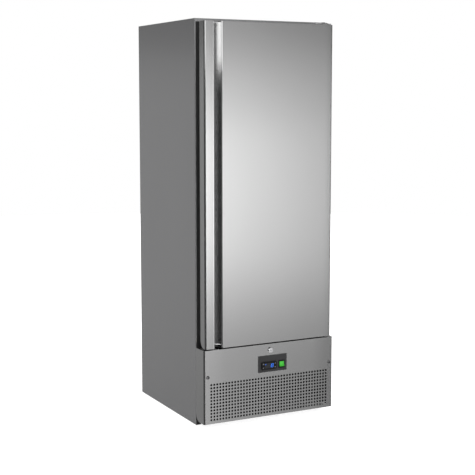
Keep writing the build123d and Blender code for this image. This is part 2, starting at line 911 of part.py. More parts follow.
def switch_rocker():
    """The rocker of the mains switch, with its upper end pressed in."""
    front = switch_front - rocker_stand
    low, high = about(switch_z, rocker_height / 2)
    back = front + rocker_depth
    outline = Polyline(
        (front, low),
        (front + rocker_dish, switch_z),
        (front, high),
        (back, high),
        (back, low),
        close=True,
    )
    face = Plane.YZ.offset(switch_x - rocker_width / 2) * make_face(outline)
    rocker = extrude(face, amount=rocker_width, dir=(1, 0, 0))
    trunnions = about(switch_x, rocker_width / 2 + trunnion_length)
    rocker += cross_rod(trunnions, rocker_y, switch_z, trunnion_radius)
    return rocker.rotate(Axis((switch_x, rocker_y, switch_z), (1, 0, 0)), -rocker_tilt)


def lock_body():
    """The lock's collar in front of the base panel, its barrel and its nut."""
    collar = deep_rod(0, (panel_y - lock_reach, panel_y), lock_height, lock_collar_radius)
    collar = fillet(collar.faces().sort_by(Axis.Y)[0].edges(), lock_collar_edge)
    barrel = deep_rod(0, (panel_y, panel_y + lock_barrel_length), lock_height, lock_barrel_radius)
    nut_y = (panel_back, panel_back + lock_nut_thickness)
    nut = pushed_back(RegularPolygon(lock_nut_radius, 6), 0, nut_y, lock_height)
    bore = (panel_y - 2 * lock_reach, panel_y + 2 * lock_barrel_length)
    return collar + barrel + nut - deep_rod(0, bore, lock_height, lock_plug_radius + running_fit)


def lock_plug():
    """The part of the lock that the key turns, and the stem that carries the cam."""
    front = panel_y - lock_reach + lock_plug_inset
    plug = deep_rod(0, (front, panel_y + lock_barrel_length), lock_height, lock_plug_radius)
    stem = (panel_y + lock_barrel_length, cam_y + cam_thickness + cam_stem_end)
    plug += deep_rod(0, stem, lock_height, cam_stem_radius)
    slot_z = about(lock_height, key_slot_height / 2)
    return plug - block(about(0, key_slot_width / 2), (front - sheet, front + key_slot_depth), slot_z)


def lock_cam():
    """The bar that turns up into the door, lying to the right while the door is unlocked."""
    across = (-cam_width / 2, cam_reach)
    y = (cam_y, cam_y + cam_thickness)
    cam = rounded_slab(across, y, about(lock_height, cam_width / 2), cam_width / 2 - loose_fit)
    return cam - deep_rod(0, (y[0] - sheet, y[1] + sheet), lock_height, cam_stem_radius)


def door_outline():
    """The door seen from above: side, front with its grip channel, and the other side."""
    lip = door_left + lip_width
    floor = door_front + grip_depth
    corners = [
        (door_left, door_front, door_bend),
        (lip, door_front, lip_edge),
        (lip - grip_undercut, floor, grip_corner),
        (lip + grip_floor, floor, grip_corner),
        (lip + grip_mouth, door_front, grip_bend),
        (door_right, door_front, door_bend),
    ]
    points = [(door_left, door_rear)] + [(x, y) for x, y, _ in corners] + [(door_right, door_rear)]
    face = make_face(Polyline(*points, close=True))
    for x, y, bend in corners:
        face = fillet(face.vertices().sort_by_distance((x, y, 0))[:1], bend)
    return face


def door_skin():
    """The outer sheet of the door, bent around its sides and its grip channel."""
    outline = door_outline()
    hollow = offset(outline, amount=-sheet)
    back = Pos(0, door_rear) * Rectangle(2 * (door_right - sheet), 4 * sheet)
    skin = upright(outline - hollow - back, (door_bottom, door_top))
    for side in (-1, 1):
        corner = near(skin.edges(), side * (door_right - sheet / 2), door_rear, door_bottom)
        skin = fillet(corner, door_foot_corner)
    return skin


def door_corner_relief():
    """What the rounded lower back corners of the door's side returns leave open."""
    x = (door_right - door_foot_relief, door_right)
    y, z = door_rear - door_foot_corner, door_bottom + door_foot_corner
    corner = block(x, (y, door_rear + sheet), (door_bottom - sheet, z))
    return both_sides(corner - cross_rod((x[0] - sheet, x[1] + sheet), y, z, door_foot_corner))


def door_filling(z):
    """What fits inside the door's skin and its liner's skirts, between the two heights in z."""
    inside = offset(door_outline(), amount=-sheet)
    half = door_right - sheet - skirt_wall
    depth = door_skin_depth - door_liner_wall
    room = Pos(0, door_front + depth / 2) * Rectangle(2 * half, depth)
    return upright(inside & room, z) - door_corner_relief()


def door_bulges(y, inset):
    """The raised step and the plug of the door's liner, drawn in by inset, from the depth y."""
    half = seal_outer_x + seal_step_edge - inset
    edge = seal_inset - seal_step_edge + inset
    step = block((-half, half), (y, door_rear + seal_step - inset), (door_bottom + edge, door_top - edge))
    plug_x = opening_x - plug_margin - inset
    plug_z = (opening_bottom + plug_margin + inset, opening_top - plug_margin - inset)
    plug_y = (y, face_y + plug_reach - inset)
    return step + rounded_slab((-plug_x, plug_x), plug_y, plug_z, plug_corner - inset)


def door_liner():
    """The inner face of the door: a plate with side skirts, a step for the seal and a plug."""
    half = door_right - sheet
    z = (door_bottom, door_top)
    liner = block((-half, half), (door_rear - door_liner_wall, door_rear), z)
    skirt = block((half - skirt_wall, half), (door_rear - skirt_depth, door_rear), z)
    liner += [skirt, mirrored(skirt), door_bulges(door_rear, 0)]
    liner -= door_bulges(door_rear - 2 * door_liner_wall, door_liner_wall)
    return liner - door_corner_relief()


def bush_places():
    """The heights between which each hinge bush lies."""
    return [(door_bottom, door_bottom + bush_length), (door_top - bush_length, door_top)]


def bush_holes():
    """The seats of the two hinge bushes."""
    return [upright_rod(hinge_x, hinge_y, z, bush_radius) for z in bush_places()]


def cam_pocket():
    """The slot in the bottom of the door that the lock's cam turns up into."""
    return cam_slot((door_bottom, lock_height + cam_reach + 2 * cam_clearance))


def door_foam():
    """The foam of the door."""
    foam = door_filling((door_bottom + cap_thickness, door_top - cap_thickness))
    foam += door_bulges(door_rear - door_liner_wall, door_liner_wall)
    return foam - bush_holes() - cam_pocket()


def door_end_caps():
    """The plastic caps that close the door at its bottom and its top."""
    bottom = door_filling((door_bottom, door_bottom + cap_thickness)) - cam_pocket()
    top = door_filling((door_top - cap_thickness, door_top))
    return group([bottom - bush_holes(), top - bush_holes()])


def seal_ring(y, width):
    """One layer of the door seal, of the given width, between two depths."""
    edge = seal_inset + (seal_width - width) / 2
    half = door_right - edge
    inner = half - width
    ring = block((-half, half), y, (door_bottom + edge, door_top - edge))
    middle = (door_bottom + edge + width, door_top - edge - width)
    return ring - block((-inner, inner), (y[0] - sheet, y[1] + sheet), middle)


def door_gasket():
    """The magnetic seal: a foot on the door, a narrow neck and a head against the front frame."""
    front, back = door_rear + seal_step, face_y - seal_fit
    seal = seal_ring((front, front + seal_foot), seal_width)
    seal += seal_ring((front + seal_foot, back - seal_head), seal_neck)
    return seal + seal_ring((back - seal_head, back), seal_width)


def hinge_bushes():
    """The two plastic bushes that the door turns on."""
    bore = pin_radius + running_fit
    return group([seat - upright_rod(hinge_x, hinge_y, (0, overall_height), bore) for seat in bush_holes()])


def hinge_flange(top):
    """The part of a hinge bracket that is screwed to the front of the cabinet."""
    x = (hinge_right - hinge_flange_width, hinge_right)
    flange = block(x, (face_y - hinge_plate, face_y), (top - hinge_flange_height, top))
    counterbore = (face_y - hinge_plate - sheet, face_y - hinge_plate + screw_head_height)
    for z in hinge_screw_heights():
        flange -= deep_rod(hinge_screw_x, counterbore, z, screw_head_radius + loose_fit)
    return flange - hinge_screw_holes()


def top_hinge_bracket():
    """The bracket over the door, with its pin, the tab that holds the pin, and the stop stud."""
    top = top_plate_z + hinge_plate
    x = (hinge_right - top_plate_width, hinge_right)
    y = (door_front + top_plate_setback, face_y)
    plate = block(x, y, (top_plate_z, top))
    front_corners = near(plate.edges().filter_by(Axis.Z), y=y[0])
    plate = fillet(front_corners, hinge_plate_corner)
    pin_z = (door_top - bush_length + pin_end_gap, top)
    tab_z = (top, top + retaining_tab)
    tab = block((hinge_x, hinge_x + retaining_reach), about(hinge_y, retaining_half_width), tab_z)
    screw_z = (top + retaining_tab, top + retaining_tab + retaining_screw_height)
    screw_head = upright_rod(hinge_x + retaining_screw_offset, hinge_y, screw_z, retaining_screw_radius)
    return plate + [
        hinge_flange(top),
        upright_rod(hinge_x, hinge_y, pin_z, pin_radius),
        upright_rod(hinge_x, hinge_y, (top, top + pin_head_height), pin_head_radius),
        tab,
        screw_head,
        upright_rod(hinge_x - stop_stud_offset, hinge_y, (top, top + stop_stud_height), stop_stud_radius),
    ]


def bottom_hinge_bracket():
    """The bracket under the top of the base panel, with the pin that the door stands on."""
    top = lower_plate_z + hinge_plate
    x = (hinge_right - lower_plate_width, hinge_right)
    plate = block(x, (hinge_y - lower_plate_reach, face_y), (lower_plate_z, top))
    shoulder_top = door_bottom - hole_fit
    return plate + [
        hinge_flange(top),
        upright_rod(hinge_x, hinge_y, (top, shoulder_top), pin_shoulder_radius),
        upright_rod(hinge_x, hinge_y, (shoulder_top, door_bottom + bush_length - pin_end_gap), pin_radius),
    ]


def compressor():
    """The sealed compressor on its foot plate, with the stubs of its two lines."""
    body = upright_rod(compressor_x, compressor_y, (compressor_plate_z, compressor_top), compressor_radius)
    body = fillet(body.faces().sort_by(Axis.Z)[-1].edges(), compressor_dome)
    body = fillet(body.faces().sort_by(Axis.Z)[0].edges(), compressor_sump)
    seam_z = about(compressor_middle, compressor_seam_height / 2)
    body += upright_rod(compressor_x, compressor_y, seam_z, compressor_radius + compressor_seam)
    foot_z = (compressor_foot_z, compressor_plate_z)
    plate_x, plate_y = about(compressor_x, compressor_foot_x), about(compressor_y, compressor_foot_y)
    plate = rounded_post(plate_x, plate_y, foot_z, compressor_foot_corner)
    for x, y in compressor_feet():
        plate -= upright_rod(x, y, (foot_z[0] - sheet, foot_z[1] + sheet), mount_neck_radius)
    stubs = [
        cross_rod((stub_end, compressor_x), compressor_y - stub_spread, discharge_height, line_radius),
        cross_rod((stub_end, compressor_x), compressor_y + stub_spread, suction_height, line_radius),
    ]
    return body + plate + stubs


def compressor_mounts():
    """The four rubber mounts under the compressor's foot plate."""
    mounts = []
    for x, y in compressor_feet():
        top = compressor_plate_z + mount_cap_height
        mount = upright_rod(x, y, (tray_top, compressor_foot_z), mount_radius)
        mount += upright_rod(x, y, (compressor_foot_z, compressor_plate_z), mount_neck_radius)
        mount += upright_rod(x, y, (compressor_plate_z, top), mount_radius)
        mounts.append(mount - upright_rod(x, y, (tray_height, top + sheet), mount_bolt_radius + running_fit))
    return group(mounts)


def compressor_terminal_cover():
    """The cover over the compressor's electric terminals, shaped to its front."""
    front = compressor_y - compressor_radius - terminal_depth
    z = (terminal_bottom, terminal_bottom + terminal_height)
    cover = block(about(compressor_x, terminal_width / 2), (front, compressor_y), z)
    shell = compressor_radius + hole_fit
    cover -= upright_rod(compressor_x, compressor_y, (z[0] - sheet, z[1] + sheet), shell)
    seam_z = about(compressor_middle, compressor_seam_height / 2 + hole_fit)
    return cover - upright_rod(compressor_x, compressor_y, seam_z, shell + compressor_seam)


def condenser_levels():
    """The heights of the condenser's passes."""
    return [condenser_bottom + index * condenser_pitch for index in range(condenser_passes)]


def condenser_tube():
    """The condenser's tube, laid to and fro across the front of the machine space."""
    route = []
    for index, z in enumerate(condenser_levels()):
        ends = (condenser_x1, condenser_x0) if index % 2 == 0 else (condenser_x0, condenser_x1)
        route += [(x, condenser_y, z) for x in ends]
    route[0] = (condenser_end, condenser_y, route[0][2])
    route[-1] = (condenser_end, condenser_y, route[-1][2])
    return pipe(route, condenser_tube_radius, condenser_bend)


def condenser_fins():
    """The thin plates that the condenser's tube passes through."""
    z = (condenser_bottom - fin_margin, condenser_top + fin_margin)
    fin = block(about(0, fin_thickness / 2), about(condenser_y, condenser_depth / 2), z)
    for level in condenser_levels():
        fin -= cross_rod(about(0, fin_pitch), condenser_y, level, condenser_tube_radius)
    room = shroud_x1 - shroud_x0 - 2 * shroud_sheet - 2 * fin_wall_gap
    places = spread(int(room / fin_pitch) + 1, fin_pitch, (shroud_x0 + shroud_x1) / 2)
    return group([Pos(x, 0, 0) * fin for x in places])


def fan_shroud():
    """The sheet box around the condenser, open to the front, with the fan's hole in its back."""
    front = face_y + condenser_setback
    shroud = block((shroud_x0, shroud_x1), (front, shroud_back), (tray_top, shroud_top))
    room = (front - sheet, shroud_back - shroud_sheet)
    inside_x = (shroud_x0 + shroud_sheet, shroud_x1 - shroud_sheet)
    shroud -= block(inside_x, room, (tray_top + shroud_sheet, shroud_top - shroud_sheet))
    shroud -= deep_rod(fan_x, (room[1] - sheet, shroud_back + sheet), fan_z, fan_hole_radius)
    across = (shroud_x0 - sheet, shroud_x1 + sheet)
    for z in condenser_levels():
        shroud -= cross_rod(across, condenser_y, z, condenser_tube_radius + hole_fit)
    return shroud


def fan_motor():
    """The fan's motor and the crossed arms that hold it to the shroud."""
    motor = deep_rod(fan_x, (motor_front, motor_front + motor_length), fan_z, motor_radius)
    motor = fillet(motor.edges().filter_by(GeomType.CIRCLE), motor_edge)
    y = (motor_front, motor_front + motor_arm_thickness)
    half = motor_arm_width / 2
    motor += block(about(fan_x, motor_arm_reach), y, about(fan_z, half))
    motor += block(about(fan_x, half), y, about(fan_z, motor_arm_reach))
    leg_x = (motor_arm_reach - motor_arm_thickness, motor_arm_reach)
    leg = block(leg_x, (shroud_back, y[1]), about(0, half))
    motor += [Pos(fan_x, 0, fan_z) * Rot(0, angle, 0) * leg for angle in (0, 90, 180, 270)]
    bore = (motor_front - sheet, fan_back + fan_shaft_length + loose_fit)
    return motor - deep_rod(fan_x, bore, fan_z, fan_shaft_radius + running_fit)


def fan_blades():
    """The condenser fan: hub, pitched blades and the shaft that enters the motor."""
    root = fan_hub_radius / 2
    outline = Polyline(
        (root, -fan_blade_root / 2),
        (fan_radius, -fan_blade_chord / 2),
        (fan_radius, fan_blade_chord / 2),
        (root, fan_blade_root / 2),
        close=True,
    )
    plate = extrude(make_face(outline), amount=fan_blade_thickness / 2, both=True)
    blade = Rot(90 - fan_blade_pitch, 0, 0) * plate
    middle = Pos(fan_x, (fan_front + fan_back) / 2, fan_z)
    turns = [index * 360 / fan_blade_count for index in range(fan_blade_count)]
    fan = deep_rod(fan_x, (fan_front, fan_back), fan_z, fan_hub_radius)
    fan += [middle * Rot(0, turn, 0) * blade for turn in turns]
    fan &= deep_rod(fan_x, about((fan_front + fan_back) / 2, fan_blade_chord), fan_z, fan_radius)
    return fan + deep_rod(fan_x, (fan_back, fan_back + fan_shaft_length), fan_z, fan_shaft_radius)


def filter_drier():
    """The filter drier, upright between the condenser and the capillary."""
    straight = drier_length - 2 * drier_neck
    middle = (drier_bottom + drier_top) / 2
    drier = upright_rod(drier_x, drier_y, about(middle, straight / 2), drier_radius)
    low = Pos(drier_x, drier_y, drier_bottom + drier_neck / 2)
    high = Pos(drier_x, drier_y, drier_top - drier_neck / 2)
    drier += low * Cone(drier_neck_radius, drier_radius, drier_neck)
    return drier + high * Cone(drier_radius, drier_neck_radius, drier_neck)


def refrigerant_lines():
    """The four lines between the compressor, the condenser, the drier and the shelves."""
    discharge_y = compressor_y - stub_spread
    suction_y = compressor_y + stub_spread
    discharge = [
        (stub_end, discharge_y, discharge_height),
        (discharge_x, discharge_y, discharge_height),
        (discharge_x, discharge_y, discharge_top),
        (discharge_x, discharge_cross_y, discharge_top),
        (discharge_cross_x, discharge_cross_y, discharge_top),
        (discharge_cross_x, condenser_y, discharge_top),
        (discharge_cross_x, condenser_y, condenser_top),
        (condenser_end, condenser_y, condenser_top),
    ]
    liquid = [
        (condenser_end, condenser_y, condenser_bottom),
        (drier_x, condenser_y, condenser_bottom),
        (drier_x, drier_y, condenser_bottom),
        (drier_x, drier_y, drier_bottom),
    ]
    suction = [
        (-shelf_half_span, link_y, line_end),
        (-shelf_half_span, link_y, suction_top),
        (suction_x, link_y, suction_top),
        (suction_x, suction_y, suction_top),
        (suction_x, suction_y, suction_height),
        (stub_end, suction_y, suction_height),
    ]
    capillary = [
        (drier_x, drier_y, drier_top),
        (drier_x, drier_y, capillary_top),
        (capillary_x, drier_y, capillary_top),
        (capillary_x, link_y - capillary_offset, capillary_top),
        (feed_x, link_y - capillary_offset, capillary_top),
        (feed_x, link_y, capillary_top),
        (feed_x, link_y, line_end),
    ]
    lines = [pipe(route, line_radius, line_bend) for route in (discharge, liquid, suction)]
    return group(lines + [pipe(capillary, capillary_radius, capillary_bend)])


def evaporation_tray():
    """The tray behind the condenser that the drained water evaporates from."""
    x = (-half_width + tray_box_inset, -half_width + tray_box_inset + tray_box_width)
    back = back_y - tray_box_back_gap
    y = (back - tray_box_depth, back)
    wall = tray_box_wall
    tray = rounded_post(x, y, (tray_top, tray_top + tray_box_height), tray_box_corner)
    inside_x, inside_y = (x[0] + wall, x[1] - wall), (y[0] + wall, y[1] - wall)
    inside_z = (tray_top + wall, tray_top + tray_box_height + sheet)
    return tray - rounded_post(inside_x, inside_y, inside_z, tray_box_corner - wall)


def rear_cover():
    """The louvred sheet behind the machine space."""
    y = (cover_y, cover_y + sheet)
    cover = block((-cover_half, cover_half), y, (cover_bottom, cover_top))
    middle = (cover_bottom + cover_top) / 2
    slot = SlotOverall(louvre_width, louvre_height)
    columns = spread(louvre_columns, louvre_pitch_x)
    rows = spread(louvre_rows, louvre_pitch_z, middle)
    slots = Sketch() + [Pos(x, z) * slot for x in columns for z in rows]
    through = (cover_y - sheet, cover_y + 2 * sheet)
    cover -= pushed_back(slots, 0, through, 0)
    cover -= deep_rod(gland_x, through, gland_height, gland_radius)
    return cover - cover_screw_holes()


def cord_gland():
    """The gland in the rear cover that the mains cord enters through."""
    outside = cover_y + sheet
    y = (outside + gland_flange - gland_length, outside + gland_flange)
    gland = deep_rod(gland_x, y, gland_height, gland_radius)
    gland += deep_rod(gland_x, (outside, outside + gland_flange), gland_height, gland_flange_radius)
    nut_y = (cover_y - gland_nut_length, cover_y)
    gland += pushed_back(RegularPolygon(gland_nut_radius, 6), gland_x, nut_y, gland_height)
    return gland - deep_rod(gland_x, (y[0] - sheet, y[1] + sheet), gland_height, gland_bore_radius)


def screws():
    """The screws of the base panel, the rear cover and the hinges, and the compressor's bolts."""
    head_y = (panel_y - panel_screw_head_height, panel_y)
    panel_screw = deep_rod(bracket_x, head_y, panel_screw_height, panel_screw_head_radius)
    shank = (panel_y, panel_y + panel_screw_length)
    panel_screw += deep_rod(bracket_x, shank, panel_screw_height, panel_screw_radius)
    pieces = [panel_screw, mirrored(panel_screw)]
    outside = cover_y + sheet
    for x, z in cover_screw_places():
        screw = deep_rod(x, (outside, outside + screw_head_height), z, screw_head_radius)
        pieces.append(screw + deep_rod(x, (outside - screw_length, outside), z, screw_radius))
    seat = face_y - hinge_plate + screw_head_height
    for z in hinge_screw_heights():
        screw = deep_rod(hinge_screw_x, (seat - screw_head_height, seat), z, screw_head_radius)
        pieces.append(screw + deep_rod(hinge_screw_x, (seat, seat + screw_length), z, screw_radius))
    bolt_seat = compressor_plate_z + mount_cap_height
    for x, y in compressor_feet():
        head = Pos(x, y, bolt_seat) * RegularPolygon(mount_bolt_head_radius, 6)
        shank = upright_rod(x, y, (tray_height - mount_bolt_end, bolt_seat), mount_bolt_radius)
        pieces.append(shank + extrude(head, amount=mount_bolt_head_height))
    return group(pieces)


def all_parts():
    """Every sub-part of the freezer under its name."""
    makers = [
        side_panel_left,
        side_panel_right,
        top_panel,
        rear_panel,
        machine_ceiling,
        front_frame,
        inner_liner,
        insulation_foam,
        shelf_rails,
        evaporator_links,
        temperature_probe,
        drain_tube,
        base_frame,
        roller_brackets,
        panel_brackets,
        base_panel,
        control_plate,
        thermostat_body,
        switch_body,
        switch_rocker,
        lock_body,
        lock_plug,
        lock_cam,
        door_skin,
        door_liner,
        door_foam,
        door_end_caps,
        door_gasket,
        hinge_bushes,
        top_hinge_bracket,
        bottom_hinge_bracket,
        compressor,
        compressor_mounts,
        compressor_terminal_cover,
        condenser_tube,
        condenser_fins,
        fan_shroud,
        fan_motor,
        fan_blades,
        filter_drier,
        refrigerant_lines,
        evaporation_tray,
        rear_cover,
        cord_gland,
        screws,
    ]
    parts = {maker.__name__: maker() for maker in makers}
    parts["thermostat_window"] = display_slab()
    for place, (x, z) in key_places().items():
        parts[f"thermostat_key_{place}"] = thermostat_key(x, z)
    shelf = lowest_shelf()
    for index in range(shelf_count):
        parts[f"evaporator_shelf_{index + 1}"] = Pos(0, 0, index * shelf_pitch) * shelf
    for name, piece in (("levelling_foot", levelling_foot()), ("rear_roller", rear_roller())):
        parts[f"{name}_right"] = piece
        parts[f"{name}_left"] = mirrored(piece)
    return parts


os.makedirs("parts", exist_ok=True)
for name, shape in all_parts().items():
    export_step(shape, f"parts/{name}.step")
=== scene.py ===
"""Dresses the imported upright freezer: finishes, small pieces that only show, studio, lights and camera."""

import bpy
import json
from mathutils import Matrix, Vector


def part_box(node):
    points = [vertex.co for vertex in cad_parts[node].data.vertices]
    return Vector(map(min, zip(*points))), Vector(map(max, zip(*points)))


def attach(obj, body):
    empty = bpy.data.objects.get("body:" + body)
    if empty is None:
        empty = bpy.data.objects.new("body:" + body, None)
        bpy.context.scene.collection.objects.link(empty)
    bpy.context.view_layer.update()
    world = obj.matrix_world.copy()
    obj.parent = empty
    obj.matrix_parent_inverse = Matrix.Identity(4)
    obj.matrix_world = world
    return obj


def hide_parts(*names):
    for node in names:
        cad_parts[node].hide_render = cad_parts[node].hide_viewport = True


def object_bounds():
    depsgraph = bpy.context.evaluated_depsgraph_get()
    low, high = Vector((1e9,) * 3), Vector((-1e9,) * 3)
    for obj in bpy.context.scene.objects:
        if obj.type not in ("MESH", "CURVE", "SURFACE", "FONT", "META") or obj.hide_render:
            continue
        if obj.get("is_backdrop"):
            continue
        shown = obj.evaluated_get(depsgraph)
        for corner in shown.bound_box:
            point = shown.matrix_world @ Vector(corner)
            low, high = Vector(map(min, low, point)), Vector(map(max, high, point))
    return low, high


bl_info = {
    "name": "Upright freezer dressing",
    "version": (1, 0, 0),
    "blender": (4, 5, 0),
    "location": "View3D > Sidebar > Freezer",
    "description": "Finishes, display, seal, fan, louvres, screws and studio of a single-door freezer",
    "category": "Object",
}

import json
import math

import bmesh
import bpy
import numpy as np
from bpy.props import FloatProperty, FloatVectorProperty, IntProperty, PointerProperty
from mathutils import Vector

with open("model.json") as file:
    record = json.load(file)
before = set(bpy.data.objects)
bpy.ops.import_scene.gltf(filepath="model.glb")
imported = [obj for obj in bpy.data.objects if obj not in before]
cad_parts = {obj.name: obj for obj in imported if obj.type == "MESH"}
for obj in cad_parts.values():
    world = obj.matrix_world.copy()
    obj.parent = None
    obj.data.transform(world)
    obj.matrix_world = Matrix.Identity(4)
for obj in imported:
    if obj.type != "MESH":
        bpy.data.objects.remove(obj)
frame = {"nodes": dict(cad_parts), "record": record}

MM = 0.001

# Where the door's sheet is polished by forming and by hands, and how much glossier and brighter it is there
GRIP_X = (-288 * MM, -243 * MM)
GRIP_GLOSS = 0.5
GRIP_COLOR = 0.84

# How far the dark heads on the top hinge plate stand above it
HINGE_HEADS = 6 * MM

# The painted shade on the strip round the cabinet's front, on which the seal closes, keeps clear of the
# sheet's outer bends
LAND_SHADE_EDGE = 5 * MM

# Base colour where a sheet is black: black paint on the hinge heads, and painted shade on the cabinet's front
# strip and in the machine space
BLACK_AND_SHADE_COLOR = (0.012, 0.012, 0.012)

# Over what reach a sheet springs back beside its upright bends, and how far it leans at its edge
DOOR_BOW = (40 * MM, 0.02)
BASE_BOW = (110 * MM, 0.03)

# The black foam block behind a return's lower corner, standing in for the shade in the notch there: nearest
# and furthest from the base panel's outer faces
CORNER_SEAL_ACROSS = (1.4 * MM, 9 * MM)
CORNER_SEAL_DEEP = (0.6 * MM, 42 * MM)
CORNER_SEAL_UP = (1.6 * MM, 60 * MM)

# A screw whose head's radius is above this is a panel screw, and its head is drawn this much wider
LARGE_HEAD = 5 * MM
LARGE_HEAD_SPREAD = 1.25
BOLT_SHANK = 4 * MM

# Air slots of the rear cover, across and up
LOUVRES = (3, 8)

# Edges of the painted shadow on the paper under the object: place, out from the model's box, and softness
SHADE_LEFT = (-18 * MM, 24 * MM)
SHADE_RIGHT = (55.2 * MM, 48 * MM)
SHADE_FRONT = (-120 * MM, 18 * MM)
SHADE_BACK = (0, 60 * MM)

# The camera's place, film width in millimetres and shift, and the overhead light's place and size
CAMERA_PLACE = (-2.417368, -4.705397, 1.497646)
FILM_WIDTH = 36.0
CAMERA_SHIFT = -0.035
TOP_LIGHT_PLACE = (0.0, -0.6, 4.2)
TOP_LIGHT_SIZE = 3.0

# Brightness of the dome straight down and straight up
DOME_RANGE = (0.4, 1.2)


# Shapes worked out as whole arrays


def grid_faces(rows, columns, round_rows=False, round_columns=False):
    """Quads between neighbouring points of a rows x columns grid, joined round where asked."""
    r = np.arange(rows if round_rows else rows - 1)[:, None]
    c = np.arange(columns if round_columns else columns - 1)[None, :]
    r_next, c_next = (r + 1) % rows, (c + 1) % columns
    corners = (r * columns + c, r * columns + c_next, r_next * columns + c_next, r_next * columns + c)
    return np.stack(np.broadcast_arrays(*corners), axis=-1).reshape(-1, 4).tolist()


def loft(rings):
    """A closed body through rings of points (rings, points, 3), with the first and last ring capped."""
    rings = np.asarray(rings, float)
    count, around = rings.shape[:2]
    faces = grid_faces(count, around, round_columns=True)
    faces.append(list(range(around)))
    faces.append(list(range((count - 1) * around, count * around)))
    return rings.reshape(-1, 3), faces


def joined(shapes):
    """Several (points, faces) pairs as one pair, each keeping its own points."""
    points, faces, offset = [], [], 0
    for part_points, part_faces in shapes:
        points.append(np.asarray(part_points, float).reshape(-1, 3))
        faces += [[index + offset for index in face] for face in part_faces]
        offset += len(part_points)
    return np.concatenate(points), faces


def plate(outline, front, back):
    """A flat outline of (x, z) points carried straight back from y = front to y = back, and closed."""
    outline = np.asarray(outline, float)
    ring = np.stack([outline[:, 0], np.zeros(len(outline)), outline[:, 1]], axis=1)
    return loft([ring + (0, front, 0), ring + (0, back, 0)])


def turned(radii, heights, sides, centre, axis):
    """Circles of given radii at given heights along an axis: p = centre + h a + r (cos t u + sin t v)."""
    a = np.asarray(axis, float)
    u = np.cross(a, (0, 0, 1)) if abs(a[2]) < 0.9 else np.array((1.0, 0, 0))
    u = u / np.linalg.norm(u)
    v = np.cross(a, u)
    t = np.linspace(0, 2 * math.pi, sides, endpoint=False)[None, :, None]
    r = np.asarray(radii, float)[:, None, None]
    h = np.asarray(heights, float)[:, None, None]
    return loft(np.asarray(centre, float) + h * a + r * (np.cos(t) * u + np.sin(t) * v))


def framed(section, x, z, y):
    """A section of (out, deep) points carried round a rectangle in the XZ plane, mitred at its corners.

    p = (sx (x + out), y + deep, z_side + sz out), with sx and sz the corner's signs.
    """
    section = np.asarray(section, float)
    signs = np.array([(-1, -1), (1, -1), (1, 1), (-1, 1)], float)
    sides = np.where(signs[:, 1] < 0, z[0], z[1])[:, None]
    across = signs[:, :1] * (x + section[None, :, 0])
    deep = np.broadcast_to(y + section[None, :, 1], across.shape)
    up = sides + signs[:, 1:] * section[None, :, 0]
    points = np.stack([across, deep, up], axis=-1)
    return points.reshape(-1, 3), grid_faces(4, len(section), round_rows=True, round_columns=True)


def screw(seat, outward, head, rise, shank, length, sides=40):
    """A pan-head screw with a cross recess, as circles round its axis.

    The dome is h = rise (1 - 0.35 s^4) for s = r / head. The recess takes 0.6 of the rise out of it where
    s < 0.56 and the smaller of |s cos t| and |s sin t| is under 0.1. Its walls slope up to 0.66 and 0.16.
    """
    axis = np.asarray(outward, float)
    u = np.cross(axis, (0, 0, 1))
    v = np.cross(axis, u)
    t = np.linspace(0, 2 * math.pi, sides, endpoint=False)[None, :]
    s = np.array([1.0, 0.96, 0.85, 0.72, 0.62, 0.52, 0.4, 0.28, 0.16, 0.06])[:, None]
    arm = np.minimum(np.abs(s * np.cos(t)), np.abs(s * np.sin(t)))
    sunk = np.clip((0.16 - arm) / 0.06, 0, 1) * np.clip((0.66 - s) / 0.1, 0, 1)
    dome = rise * (1 - 0.35 * s**4) - 0.6 * rise * sunk
    point = [(0.55 * shank, -length), (shank, -length + shank)]
    lower = np.array([*point, (shank, 0), (head, 0), (head, 0.4 * rise)])
    r = np.concatenate([np.repeat(lower[:, :1], sides, axis=1), np.broadcast_to(head * s, dome.shape)])
    h = np.concatenate([np.repeat(lower[:, 1:], sides, axis=1), dome])
    turn = np.broadcast_to(t, r.shape)
    rings = np.asarray(seat, float) + h[..., None] * axis
    rings = rings + (r * np.cos(turn))[..., None] * u + (r * np.sin(turn))[..., None] * v
    return loft(rings)


def bolt(seat, head, rise, shank, length):
    """An upright hexagon bolt: a chamfered six-sided head over a round shank."""
    t = np.linspace(0, 2 * math.pi, 6, endpoint=False)
    corner = np.stack([np.cos(t), np.sin(t), 0 * t], axis=1)
    levels = ((head, 0.0), (head, 0.8 * rise), (0.86 * head, rise))
    hexagon = loft([np.asarray(seat) + corner * radius + (0, 0, height) for radius, height in levels])
    heights = (-length, -length + 0.3 * shank, 0)
    rod = turned((0.7 * shank, shank, shank), heights, 20, seat, (0, 0, 1))
    return joined([hexagon, rod])


def piece(name, shape, material, body, stands_for=(), smooth_below=35):
    """A mesh object from points and faces: rides on a body, faces outwards, smooth below an angle."""
    points, faces = shape
    mesh = bpy.data.meshes.new(name)
    mesh.from_pydata(np.asarray(points, float).tolist(), [], faces)
    work = bmesh.new()
    work.from_mesh(mesh)
    bmesh.ops.recalc_face_normals(work, faces=work.faces)
    work.to_mesh(mesh)
    work.free()
    mesh.polygons.foreach_set("use_smooth", np.ones(len(mesh.polygons), bool))
    mesh.set_sharp_from_angle(angle=math.radians(smooth_below))
    mesh.materials.append(material)
    mesh.update()
    made = bpy.data.objects.new(name, mesh)
    bpy.context.scene.collection.objects.link(made)
    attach(made, body)
    if stands_for:
        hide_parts(*stands_for)
    return made


# Finishes


